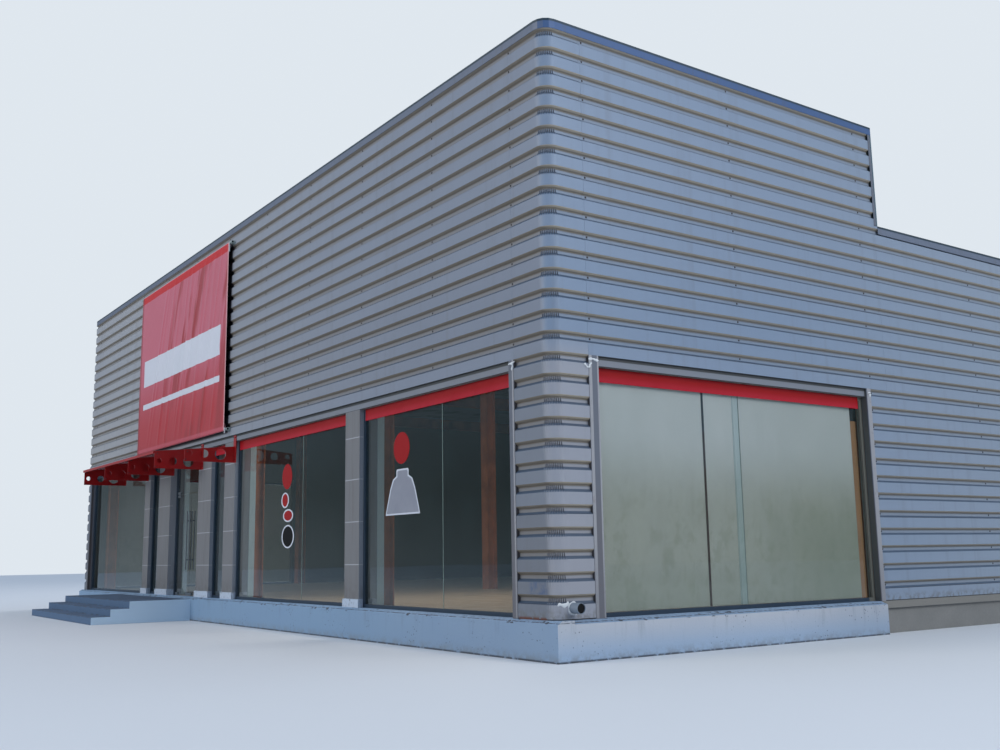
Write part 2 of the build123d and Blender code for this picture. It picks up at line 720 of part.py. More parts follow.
def leaf_heights():
    """Z of the bottom and top edges of the leaves."""
    return WALL_BASE + DOOR_GAP, WALL_BASE + LEAF_HEIGHT


def patch(x0, x1, z0, z1):
    """Block of a patch fitting, thick enough to cover both faces of the glass."""
    half = GLASS / 2 + PATCH_COVER
    y = Y_FRONT + DOOR_SET
    return block(x0, x1, y - half, y + half, z0, z1)


def door_overpanel():
    """Fixed glass over the doors, notched for its two patches."""
    x0, x1 = door_bay()
    low = WALL_BASE + LEAF_HEIGHT + 2 * DOOR_GAP
    left, right = x0 + FRAME_FACE, x1 - FRAME_FACE
    pane = front_pane(left, right, DOOR_SET, low, GLAZING_TOP - SEAM - FRAME_FACE)
    pane -= patch(left, left + PATCH_LENGTH, low, low + PATCH_NOTCH)
    return pane - patch(right - PATCH_LENGTH, right, low, low + PATCH_NOTCH)


def overpanel_patches():
    """Patches at the lower corners of the fixed glass that take the top pivots."""
    x0, x1 = door_bay()
    low = WALL_BASE + LEAF_HEIGHT + 2 * DOOR_GAP
    glass = door_overpanel()
    left = patch(x0 + FRAME_FACE, x0 + FRAME_FACE + PATCH_LENGTH, low, low + PATCH_HEIGHT)
    right = patch(x1 - FRAME_FACE - PATCH_LENGTH, x1 - FRAME_FACE, low, low + PATCH_HEIGHT)
    return [left - glass, right - glass]


def door_leaf():
    """Left glass leaf, notched where its patches grip it."""
    a, b = leaf_span()
    low, high = leaf_heights()
    leaf = front_pane(a, b, DOOR_SET, low, high)
    leaf -= patch(a, a + PATCH_LENGTH, low, low + PATCH_NOTCH)
    leaf -= patch(a, a + PATCH_LENGTH, high - PATCH_NOTCH, high)
    return leaf - patch(b - PATCH_LENGTH, b, low, low + PATCH_NOTCH)


def door_fittings():
    """Left leaf fittings: two pivot patches with their pins, a lock patch and two pull bars."""
    a, b = leaf_span()
    low, high = leaf_heights()
    glass = door_leaf()
    y = Y_FRONT + DOOR_SET
    pin_reach = DOOR_GAP - PIVOT_CLEAR
    bottom = patch(a, a + PATCH_LENGTH, low, low + PATCH_HEIGHT) - glass
    bottom += Pos(a + PIVOT_IN, y, low - pin_reach / 2) * Cylinder(PIVOT_RADIUS, pin_reach)
    pin_reach = 2 * DOOR_GAP - PIVOT_CLEAR
    top = patch(a, a + PATCH_LENGTH, high - PATCH_HEIGHT, high) - glass
    top += Pos(a + PIVOT_IN, y, high + pin_reach / 2) * Cylinder(PIVOT_RADIUS, pin_reach)
    lock = patch(b - PATCH_LENGTH, b, low, low + PATCH_HEIGHT) - glass
    bars = [pull_bar(b - PATCH_LENGTH / 2, y + side * GLASS / 2, side) for side in (-1, 1)]
    return [bottom, top, lock] + bars


def pull_bar(x, face, side):
    """Flat pull bar on two stubs, standing off one face of the glass."""
    low = WALL_BASE + HANDLE_LOW
    half = HANDLE_WIDTH / 2
    outer = face + side * HANDLE_OFF
    bar = block(x - half, x + half, outer - side * HANDLE_THICK, outer, low, low + HANDLE_LENGTH)
    for z in (low + HANDLE_LENGTH / 6, low + HANDLE_LENGTH * 5 / 6):
        bar += block(x - half, x + half, face, outer - side * HANDLE_THICK,
                     z - HANDLE_THICK, z + HANDLE_THICK)
    return bar


# Canopy

def bracket_x():
    """X of the bracket plates from right to left."""
    return [from_right(BRACKET_FIRST + i * BRACKET_PITCH) for i in range(BRACKETS)]


def bracket_root_y():
    """Y of the face that carries the canopy brackets."""
    return Y_FRONT + PIER_SET


def bracket(x, drop):
    """Plate bracket falling outwards over a level lower edge, with round holes, on a wall plate."""
    root = bracket_root_y() - WALL_PLATE
    tip = bracket_root_y() - BRACKET_REACH
    foot = HEAD - BRACKET_TOP - BRACKET_ROOT
    top = HEAD - BRACKET_TOP - drop
    outline = [(root, top), (root, foot), (tip, foot), (tip, top - BRACKET_FALL)]
    plate = prism([(x - BRACKET_PLATE / 2, y, z) for y, z in outline], (BRACKET_PLATE, 0, 0))
    for out, radius in BRACKET_HOLES:
        hole = Pos(x, bracket_root_y() - out, foot + HOLE_RISE) * Rot(0, 90, 0)
        plate -= hole * Cylinder(radius, 3 * BRACKET_PLATE)
    wall_plate = block(x - WALL_PLATE_WIDTH / 2, x + WALL_PLATE_WIDTH / 2, root, bracket_root_y(),
                       foot, HEAD - WALL_PLATE_BELOW)
    return plate + wall_plate


def brackets():
    """The lower end bracket and the four brackets that carry the covers."""
    xs = bracket_x()
    return [bracket(xs[0], END_DROP)] + [bracket(x, 0.0) for x in xs[1:]]


def canopy_rail():
    """Flat front rail across the tips of the brackets that carry the covers."""
    xs = bracket_x()
    tip = bracket_root_y() - BRACKET_REACH
    top = HEAD - BRACKET_TOP - BRACKET_FALL
    half = BRACKET_PLATE / 2
    return block(xs[-1] - half, xs[1] + half, tip - RAIL_DEPTH, tip, top - RAIL_HEIGHT, top)


def canopy_covers():
    """Clear sheets resting on the brackets, one to each bay, falling outwards."""
    xs = bracket_x()[1:]
    root = bracket_root_y() - WALL_PLATE
    tip = bracket_root_y() - BRACKET_REACH
    top = HEAD - BRACKET_TOP
    outline = [(root, top), (root, top + COVER),
               (tip, top - BRACKET_FALL + COVER), (tip, top - BRACKET_FALL)]
    sheets = []
    for right, left in zip(xs, xs[1:]):
        edge = COVER_GAP / 2
        sheets.append(prism([(left + edge, y, z) for y, z in outline], (right - left - 2 * edge, 0, 0)))
    return sheets


# Banner

def banner_box():
    """Low and high corners of the banner's place on the front."""
    right = from_right(BANNER_RIGHT)
    low = HEAD + BANNER_LOW
    return right - BANNER_WIDTH, right, low, low + BANNER_HEIGHT


def banner():
    """Stretched banner sheet in front of the crowns."""
    left, right, low, high = banner_box()
    y = Y_FRONT - BANNER_OUT
    return block(left, right, y - BANNER_THICK / 2, y + BANNER_THICK / 2, low, high)


def banner_tubes():
    """Top and bottom tubes behind the banner, with clamps behind their ends on the crowns."""
    left, right, low, high = banner_box()
    y = Y_FRONT - BANNER_OUT + BANNER_THICK / 2 + TUBE_RADIUS
    back = y + TUBE_RADIUS
    shapes = []
    for z in (low + TUBE_LOW, high - TUBE_TOP):
        tube = Cylinder(TUBE_RADIUS, right - left + 2 * TUBE_PAST)
        shapes.append(Pos((left + right) / 2, y, z) * Rot(0, 90, 0) * tube)
        for x in (left - TUBE_PAST / 2, right + TUBE_PAST / 2):
            shapes.append(block(x - CLAMP / 2, x + CLAMP / 2, back, Y_FRONT,
                                z - CLAMP / 2, z + CLAMP / 2))
    return shapes


# Drain outlet

def drain_pipe():
    """Short open pipe standing out of the side."""
    place = Pos(X_RIGHT + PIPE_OUT / 2, Y_FRONT + BEND_RADIUS + PIPE_BEHIND, WALL_BASE + PIPE_HEIGHT)
    pipe = Cylinder(PIPE_RADIUS, PIPE_OUT) - Cylinder(PIPE_RADIUS - PIPE_WALL, 2 * PIPE_OUT)
    return place * Rot(0, 90, 0) * pipe


def build():
    """Write every node."""
    os.makedirs("parts", exist_ok=True)
    side_plinth = plinth_side()
    save("plinth_front", plinth_front())
    save("plinth_right", side_plinth)
    save("plinth_left", mirror(side_plinth, about=Plane.YZ))
    save("plinth_rear", plinth_rear())
    save("floor_slab", floor_slab())
    save("entrance_steps", entrance_steps())
    save("steel_columns", columns())
    save("high_roof_beams", high_beams())
    save("low_roof_beams", low_beams())
    save("roof_high", roof_high())
    save("roof_low", roof(Y_STEP - LINER_FACE, Y_REAR - LINER_BACK, LOW_ROOF))
    save("corner_sheet_right", corner_sheet(CORNER_FRONT))
    save("corner_sheet_left", mirror(corner_sheet(CORNER_FRONT_LEFT), about=Plane.YZ))
    save("cladding_front", clad_front())
    high_side, low_side = clad_side_high(), clad_side_low()
    save("cladding_right_high", high_side)
    save("cladding_left_high", mirror(high_side, about=Plane.YZ))
    save("cladding_right_low", low_side)
    save("cladding_left_low", mirror(low_side, about=Plane.YZ))
    save("cladding_rear", clad_rear())
    save("cladding_high_rear", clad_high_rear())
    side_lining = liner_side()
    save("lining_right", side_lining)
    save("lining_left", mirror(side_lining, about=Plane.YZ))
    save("lining_front", liner_front())
    left_corner = mirror(liner_corner(CORNER_FRONT_LEFT), about=Plane.YZ)
    save("lining_corners", [liner_corner(CORNER_FRONT), left_corner])
    save("lining_rear", liner_rear())
    save("lining_high_rear", liner_high_rear())
    save("coping_high", coping_high())
    save("coping_high_rear", rear_coping(Y_STEP, HIGH_TOP))
    save("coping_low", both_sides(coping_low_side()) + [rear_coping(Y_REAR, LOW_TOP)])
    save("upright_trims", both_sides(parapet_end_trim()) + both_sides(rear_corner_trim()))
    save("window_trims", window_trims())
    save("head_bands", head_bands())
    save("piers", piers())
    save("window_frames_front", window_frames())
    save("window_glass_front", window_glass())
    save("window_frames_side", both_sides(side_window_frame()))
    save("window_glass_side", [pane for half in side_window_glass() for pane in both_sides(half)])
    save("door_posts", door_posts())
    save("door_head", door_head())
    save("door_overpanel", door_overpanel())
    save("overpanel_patches", overpanel_patches())
    centre = Plane.YZ.offset(sum(door_bay()) / 2)
    save("door_leaf_left", door_leaf())
    save("door_leaf_right", mirror(door_leaf(), about=centre))
    fittings = door_fittings()
    save("door_fittings_left", fittings)
    save("door_fittings_right", [mirror(piece, about=centre) for piece in fittings])
    save("canopy_brackets", brackets())
    save("canopy_rail", canopy_rail())
    save("canopy_covers", canopy_covers())
    save("banner", banner())
    save("banner_tubes", banner_tubes())
    save("drain_pipe", drain_pipe())


build()
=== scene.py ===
# The looks of a flat-roofed showroom in ribbed metal cladding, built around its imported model.
import math
import bmesh
import bpy
import numpy as np
from mathutils import Matrix, Vector


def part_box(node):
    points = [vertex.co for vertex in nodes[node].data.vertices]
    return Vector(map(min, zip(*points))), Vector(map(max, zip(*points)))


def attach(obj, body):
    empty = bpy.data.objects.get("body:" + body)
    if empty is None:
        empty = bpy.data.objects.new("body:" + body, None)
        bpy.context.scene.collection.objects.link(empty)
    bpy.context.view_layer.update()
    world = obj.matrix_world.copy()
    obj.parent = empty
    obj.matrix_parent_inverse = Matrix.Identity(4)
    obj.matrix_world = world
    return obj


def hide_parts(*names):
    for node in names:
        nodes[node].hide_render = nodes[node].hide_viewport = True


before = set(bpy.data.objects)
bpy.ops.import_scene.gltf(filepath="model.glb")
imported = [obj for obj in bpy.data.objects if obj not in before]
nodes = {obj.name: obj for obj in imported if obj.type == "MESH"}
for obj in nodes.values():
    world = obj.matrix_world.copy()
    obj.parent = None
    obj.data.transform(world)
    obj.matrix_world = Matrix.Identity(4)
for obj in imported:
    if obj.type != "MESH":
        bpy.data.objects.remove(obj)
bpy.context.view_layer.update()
print("frame loaded:", len(nodes), "nodes")

# places that many pieces share, in metres, read from the nodes
cornerLow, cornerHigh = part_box("corner_sheet_right")
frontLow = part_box("cladding_front")[0]
building = {
    "rightFace": cornerHigh.x, "leftFace": -cornerHigh.x, "frontFace": frontLow.y,
    "rearFace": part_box("cladding_rear")[1].y, "tallEnd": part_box("cladding_high_rear")[1].y,
    "wallFoot": cornerLow.z, "ribBase": cornerLow.z + 0.025, "headLine": frontLow.z,
    "glazingTop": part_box("head_bands")[0].z, "highTop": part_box("coping_high")[1].z,
    "lowTop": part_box("coping_low")[1].z, "copingFace": 0.125, "bendRadius": 0.18,
}
# one rib of the cladding, measured up from its lower edge
rib = {"pitch": 0.25, "crown": 0.145, "web": 0.030, "valley": 0.045, "depth": 0.040}

# corner sheets: the ribs run round the bend, and short crimps cross each valley there
cornerSheet = {"crimps": 9, "crimpHeight": 0.014, "crimpWidth": 0.30, "perCrimp": 8, "thickness": 0.0012,
               "crimpUp": (0.140, 0.160, 0.205, 0.222), "footEdge": 0.010, "mostRibs": 30,
               "rows": (0.003, 0.070, 0.142, 0.149, 0.158, 0.171, 0.178, 0.198, 0.217, 0.224, 0.246)}


class Wire:
    # one output socket, so that shader maths reads as a plain expression
    def __init__(self, graph, socket):
        self.graph, self.socket = graph, socket

    def maths(self, operation, *others):
        return self.graph.maths(operation, self, *others)

    def __add__(self, other): return self.maths("ADD", other)
    def __sub__(self, other): return self.maths("SUBTRACT", other)
    def __mul__(self, other): return self.maths("MULTIPLY", other)
    def __mod__(self, other): return self.maths("FLOORED_MODULO", other)
    def __lt__(self, other): return self.maths("LESS_THAN", other)
    def __gt__(self, other): return self.maths("GREATER_THAN", other)
    def __or__(self, other): return self.maths("MAXIMUM", other)  # the larger, so two masks become one
    def __abs__(self): return self.maths("ABSOLUTE")
    def __radd__(self, other): return self.maths("ADD", other)
    def __rmul__(self, other): return self.maths("MULTIPLY", other)
    def __rsub__(self, other): return self.graph.maths("SUBTRACT", other, self)


class Graph:
    # a node tree; every node that it gets comes from node()
    def __init__(self, holder):
        holder.use_nodes = True
        self.tree = holder.node_tree

    def node(self, kind, settings=None, sockets=None, output=0):
        made = self.tree.nodes.new(kind)
        for key, value in (settings or {}).items():
            if key == "stops":
                for _ in value[2:]:
                    made.color_ramp.elements.new(0.5)
                for element, (at, colour) in zip(made.color_ramp.elements, value):
                    element.position, element.color = at, colour
            else:
                setattr(made, key, value)
        for key, value in (sockets or {}).items():
            if isinstance(value, Wire):
                self.tree.links.new(value.socket, made.inputs[key])
            else:
                made.inputs[key].default_value = value
        return Wire(self, made.outputs[output])

    def maths(self, operation, *values):
        return self.node("ShaderNodeMath", {"operation": operation}, dict(enumerate(values)))

    def split(self, vector):
        return [self.node("ShaderNodeSeparateXYZ", sockets={0: vector}, output=i) for i in range(3)]


def linear(red, green, blue):
    # a screen colour, 0 to 255, as linear light: ((c + 0.055) / 1.055) ^ 2.4, or c / 12.92 when dark
    parts = [c / 255 for c in (red, green, blue)]
    return tuple(((c + 0.055) / 1.055) ** 2.4 if c > 0.04045 else c / 12.92 for c in parts) + (1.0,)


class Finish(Graph):
    # a material: its colour is laid on in coats, and done() feeds the Principled shader
    def __init__(self, name, look=None, **fixed):
        self.material, self.look = bpy.data.materials.new(name), look
        super().__init__(self.material)
        self.shader = self.tree.nodes["Principled BSDF"]
        for socket, value in fixed.items():
            self.shader.inputs[socket.replace("_", " ")].default_value = value
        self.place = self.node("ShaderNodeTexCoord", output="Object")
        self.x, self.y, self.z = self.split(self.place)

    def stretch(self, factors):
        return self.node("ShaderNodeVectorMath", {"operation": "MULTIPLY"}, {0: self.place, 1: factors})

    def noise(self, scale, detail=3.0, rough=0.5, factors=(1, 1, 1)):
        return self.node("ShaderNodeTexNoise", {}, {"Vector": self.stretch(factors), "Scale": scale,
                                                    "Detail": detail, "Roughness": rough})

    def cells(self, scale, factors=(1, 1, 1), output="Distance"):
        return self.node("ShaderNodeTexVoronoi", {}, {"Vector": self.stretch(factors), "Scale": scale},
                         output)

    def ease(self, value, low, high):
        # 0 below low, 1 above high, and 3t^2 - 2t^3 between; low may be the larger
        return self.node("ShaderNodeMapRange", {"interpolation_type": "SMOOTHSTEP"},
                         {"Value": value, "From Min": low, "From Max": high})

    def fade(self, value, name, origin=0.0):
        # the same, over a span that has a name in the look, counted from the origin
        low, high = self.look[name]
        return self.ease(value, origin + low, origin + high)

    def band(self, value, span, soft, origin=0.0):
        # 1 inside a span, fading out over the soft distance at both ends
        low, high = (origin + edge for edge in (self.look[span] if isinstance(span, str) else span))
        return self.ease(value, low - soft, low) * self.ease(value, high + soft, high)

    def zone(self, soft, **spans):
        # 1 inside all of the given spans of x, y and z
        inside = 1.0
        for axis, span in spans.items():
            inside = self.band(getattr(self, axis), span, soft) * inside
        return inside

    def normal(self):
        # which way the face looks: along x, along y and up, each from -1 to 1
        return self.split(self.node("ShaderNodeNewGeometry", output="Normal"))

    def sideways(self, low, high):
        # 1 on faces that look along x, 0 on the front and the rear
        return self.ease(abs(self.normal()[0]), low, high)

    def tone(self, colour):
        # a wire as it is; a screen colour, or its name in the look, as linear light
        if isinstance(colour, Wire):
            return colour
        return linear(*(self.look[colour] if isinstance(colour, str) else colour))

    def mix(self, factor, first, second):
        return self.node("ShaderNodeMix", {"data_type": "RGBA"},
                         {0: factor, 6: self.tone(first), 7: self.tone(second)}, 2)

    def coat(self, factor, colour):
        # lays one more colour over what the surface has so far
        self.colour = self.mix(factor, self.colour, colour)

    def feed(self, **links):
        for socket, wire in links.items():
            self.tree.links.new(wire.socket, self.shader.inputs[socket.replace("_", " ")])

    def done(self, height, strength, distance, **links):
        bump = self.node("ShaderNodeBump", {}, {"Height": height, "Strength": strength, "Distance": distance})
        self.feed(Base_Color=self.colour, Normal=bump, **links)
        return self.material


# ribbed sheet: silver paint, each sheet a tone of its own; painted light and shade by facing and by place,
# painted tan light reflected from the ground under the crowns, and painted shade on the ledges, in the
# valleys, laps and creases, along the foot and behind the banner
claddingLook = {
    "front": (114, 122, 137), "frontFar": (159, 160, 163), "side": (116, 135, 159),
    "sideFar": (139, 152, 167), "pale": (134, 146, 164), "lowFront": (101, 105, 113),
    "lowSide": (149, 150, 157), "underFront": (124, 114, 98), "underSide": (172, 160, 139),
    "underDeep": (78, 72, 62),
    "valleyFront": (126, 122, 118), "ledge": (52, 74, 98), "lap": (34, 42, 60), "crease": (66, 68, 76),
    "grime": (96, 92, 84), "gap": (16, 15, 18), "rust": (96, 50, 32), "stain": (60, 84, 124),
    "shade": (20, 20, 26),
    "sheetHeight": 1.0, "lapAt": 0.620, "lapUp": (0.0, 0.007),
    # heights within one rib, and the middle of each crimp
    "valleyFloor": (0.176, 0.221), "underCrown": (0.210, 0.231), "creaseUp": (0.166, 0.216),
    "bendLedge": (0.138, 0.150), "creaseAcross": (0.30, 0.70),
    # places on the walls; where a pair runs downwards, the coat grows that way
    "fadeAcross": (9.5, -9.5), "fadeAlong": (2.0, 12.0), "grimeUp": (0.60, 0.47), "gapUp": (0.464, 0.458),
    "belowHead": (0.3, -0.2), "nearFront": (0.1, 0.0),
    "behindBanner": {"x": (-5.40, 0.02), "z": (3.56, 7.27)},
    "rustAt": {"x": (9.26, 9.88), "y": (-0.10, 0.0)}, "rustUp": (0.490, 0.462),
    "stainAcross": (9.64, 9.86), "stainUp": (0.735, 0.862), "stainIn": (0.03, 0.0),
}


def claddingFinish(name, crimped=False):
    look = claddingLook
    f = Finish(name, look, Metallic=0.2)
    # sheets are four ribs high, and their upper edges lie at the tops of crowns
    height = f.z + (look["sheetHeight"] - look["lapAt"])
    sheet = f.node("ShaderNodeTexWhiteNoise", {"noise_dimensions": "1D"}, {"W": height.maths("FLOOR")})
    cloud = f.noise(0.45, 4.0, 0.55, (1, 1, 1.6))
    streak = f.noise(2.2, 4.0, 0.6, (3.0, 3.0, 0.12))
    up, sideways = f.normal()[2], f.sideways(0.1, 0.6)
    # painted light: the side is painted bluer than the front, the front grows lighter towards its far end and
    # the side lighter along its length; on the short legs below the heads of the windows, painted shade
    # darkens the part facing front and painted light brightens the part facing the side
    front = f.mix(f.fade(f.x, "fadeAcross"), "front", "frontFar")
    side = f.mix(f.fade(f.y, "fadeAlong"), "side", "sideFar")
    f.colour = f.mix(sideways, front, side)
    if crimped:
        f.coat(f.fade(f.z, "belowHead", building["headLine"]), f.mix(sideways, "lowFront", "lowSide"))
    f.coat(sheet * 0.22 + cloud * 0.30, "pale")
    f.coat(f.ease(streak, 0.50, 0.78) * 0.16, "grime")
    inRib = (f.z - building["ribBase"]).maths("MAXIMUM", 0.0) % rib["pitch"]
    # painted light: the floor of each valley takes a brownish painted shade on the front, the faces under
    # each crown a tan painted reflection of light from the ground, and a darker painted shade lies just under
    # each crown
    f.coat(f.band(inRib, "valleyFloor", 0.002) * (0.55 - 0.40 * sideways), "valleyFront")
    # painted shade: faces that look up are painted dark blue-grey
    f.coat(f.ease(up, 0.25, 0.6) * 0.80, "ledge")
    under = f.mix(sideways, "underFront", "underSide")
    f.coat(f.ease(up, -0.25, -0.6) * (0.72 + 0.25 * cloud), under)
    f.coat(f.band(inRib, "underCrown", 0.006) * (0.30 + 0.20 * sideways), "underDeep")
    # painted shadow: a dark line at the top of the crown where each upper sheet ends over the one below
    f.coat(f.band(height % look["sheetHeight"], "lapUp", 0.0015) * 0.8, "lap")
    foot = f.fade(f.z, "grimeUp") * f.ease(f.noise(14.0, 4.0), 0.42, 0.62)
    f.coat(foot * 0.5, "grime")
    # painted shade: a black band along the foot stands for the open gap there, and rust has run out of that
    # gap at the end of the front
    f.coat(f.fade(f.z, "gapUp"), "gap")
    rusty = f.zone(0.03, **look["rustAt"]) * f.fade(f.z, "rustUp")
    f.coat(rusty * f.ease(f.noise(26.0, 4.0), 0.36, 0.50) * 0.9, "rust")
    stained = f.band(f.x, "stainAcross", 0.09) * f.band(f.z, "stainUp", 0.012)
    stained = stained * f.fade(f.y, "stainIn") * f.ease(f.noise(9.0, 3.0), 0.30, 0.62)
    f.coat(stained * 0.7, "stain")
    f.coat(f.zone(0.05, **look["behindBanner"]) * f.fade(f.y, "nearFront") * 0.93, "shade")
    if crimped:
        # painted shade in the creases between the crimps of the bend, and on the ledges there
        phase = f.split(f.node("ShaderNodeUVMap", {"uv_map": "crimp"}))[0]
        inBend = (phase > 0.01) * (phase < cornerSheet["crimps"] - 0.01)
        crease = f.band(phase % 1.0, "creaseAcross", 0.12) * inBend * f.band(inRib, "creaseUp", 0.006)
        f.coat(crease * 0.55, "crease")
        f.coat(f.band(inRib, "bendLedge", 0.004) * inBend * 0.35, "ledge")
    return f.done(f.noise(1.3, 2.0, 0.5, (1, 1, 3.0)) * 0.6 + f.noise(180.0, 2.0) * 0.02, 0.35, 0.010,
                  Roughness=0.42 + 0.16 * cloud + 0.10 * streak)


# folded flashings: violet-blue paint, with painted shade, darker and bluer, where it faces the side, and a
# dark line along the top fold
copingLook = {"front": (98, 106, 122), "side": (50, 83, 130), "pale": (93, 109, 135), "low": (112, 118, 128),
              "rim": (22, 46, 58), "dirt": (84, 78, 70), "lowUp": (0.3, 0.0), "rimHigh": (-0.034, -0.030),
              "rimLow": (-0.030, 0.01), "joint": (0.0, 0.004)}


def copingFinish():
    high, low = building["highTop"], building["lowTop"]
    f = Finish("flashing", copingLook, Metallic=0.2)
    cloud = f.noise(1.2, 4.0, 0.6)
    # painted shade: the faces that look along x are darker and bluer
    f.colour = f.mix(f.sideways(0.2, 0.8), "front", "side")
    f.coat(f.fade(f.z, "lowUp", low) * 0.8, "low")
    f.coat(cloud * 0.35, "pale")
    f.coat(f.ease(f.noise(3.0, 3.0, 0.6, (4.0, 4.0, 0.4)), 0.52, 0.75) * 0.25, "dirt")
    f.coat((f.fade(f.z, "rimHigh", high) | f.band(f.z, "rimLow", 0.004, low)) * 0.9, "rim")
    f.coat(f.band(f.x, "joint", 0.002) * 0.8, "rim")
    return f.done(f.noise(2.0, 2.0, 0.5, (1, 1, 2.0)) * 0.5 + f.noise(150.0, 2.0) * 0.02, 0.3, 0.006,
                  Roughness=0.42 + 0.2 * cloud)


# upright trims beside the windows: painted highlights on the outer folds, a blue-grey face, painted shade on
# the flanks behind the crowns
trimLook = {"face": (92, 98, 110), "faceOther": (100, 106, 118), "light": (154, 155, 160),
            "worn": (104, 96, 94), "deep": (58, 50, 50), "channel": (84, 86, 82), "edge": (52, 84, 98),
            "lightFront": (9.318, 9.35), "lightSide": ((0.505, 0.552), (0.634, 0.66), (5.745, 5.84)),
            "wornUp": (2.2, 1.4), "dimUp": (1.4, 0.6), "channelFrom": (5.0, 5.5), "onFront": (0.02, -0.02),
            "pastFront": (0.0, 0.1), "behindSide": (-0.003, -0.009), "behindFront": (0.003, 0.009),
            "rearEdge": (-0.020, 0.01)}


def trimFinish():
    look = trimLook
    f = Finish("trim sheet", look, Metallic=0.15)
    cloud = f.noise(1.4, 4.0, 0.6, (1, 1, 0.5))
    onFront = f.fade(f.y, "onFront")
    f.colour = f.mix(cloud * 0.4, "face", "faceOther")
    f.coat(f.fade(f.z, "wornUp") * 0.35, "worn")
    # painted highlights along the outer folds, dimmer lower down
    near, edge, far = (f.zone(0.003, y=span) for span in look["lightSide"])
    light = near | edge | far | f.zone(0.003, x=look["lightFront"]) * onFront
    f.coat(light * (0.85 - 0.3 * f.fade(f.z, "dimUp")), "light")
    # painted shade: behind the crown plane the folds lie in the dark
    sunk = f.fade(abs(f.x), "behindSide", building["rightFace"]) * f.fade(f.y, "pastFront")
    sunk = sunk | f.fade(f.y, "behindFront", building["frontFace"]) * onFront
    f.coat(sunk * 0.85, f.mix(f.fade(f.y, "channelFrom"), "deep", "channel"))
    f.coat(f.band(f.y, "rearEdge", 0.003, building["tallEnd"]) * 0.9, "edge")
    f.coat(f.ease(f.noise(9.0, 4.0, 0.65), 0.58, 0.72) * 0.3, "worn")
    return f.done(f.noise(1.6, 2.0) * 0.3 + f.noise(150.0, 2.0) * 0.02, 0.3, 0.004,
                  Roughness=0.42 + 0.2 * cloud)


# flat band over the glazing: painted shadow in the slot under the first rib, and a dark line along its lower
# edge
headBandLook = {"face": (122, 128, 138), "faceDark": (106, 110, 118), "slot": (44, 48, 50),
                "edge": (30, 40, 50), "slotBelowHead": (-0.045, -0.036), "edgeOverGlazing": (0.008, 0.004)}


def headBandFinish():
    f = Finish("head band", headBandLook, Metallic=0.15)
    cloud = f.noise(1.4, 4.0, 0.6)
    f.colour = f.mix(cloud * 0.5, "face", "faceDark")
    f.coat(f.fade(f.z, "slotBelowHead", building["headLine"]) * 0.9, "slot")
    f.coat(f.fade(f.z, "edgeOverGlazing", building["glazingTop"]), "edge")
    return f.done(f.noise(1.6, 2.0) * 0.3 + f.noise(150.0, 2.0) * 0.02, 0.3, 0.004,
                  Roughness=0.45 + 0.2 * cloud)


# masonry paint of the base, and the bare concrete where it is unpainted
plinthLook = {
    "front": (131, 152, 175), "frontFar": (121, 150, 178), "side": (180, 184, 191),
    "sideLow": (150, 171, 195), "blue": (114, 142, 176), "drip": (96, 108, 122), "speck": (40, 40, 46),
    "splash": (112, 116, 116), "foot": (44, 46, 52), "crack": (36, 34, 38), "concrete": (138, 138, 136),
    "concreteDark": (104, 106, 106), "concreteFine": (84, 84, 82), "ledge": (120, 118, 112),
    "farFrom": (9.0, 4.0), "sideUp": (0.02, 0.43), "dustFrom": (3.2, 5.4), "dripUp": (0.05, 0.40),
    "pitted": {"x": (9.50, 9.86), "z": (0.20, 0.34)}, "corner": {"x": (9.3, 10.4), "y": (-0.3, 0.8)},
    "splashUp": (0.14, 0.0), "footUp": (0.030, 0.010), "crackAt": (0.428, 0.433), "chipUp": (0.404, 0.446),
    "ridgeUp": (0.405, 0.440), "ledgeUp": (0.350, 0.356), "plainFrom": (5.728, 5.732),
}


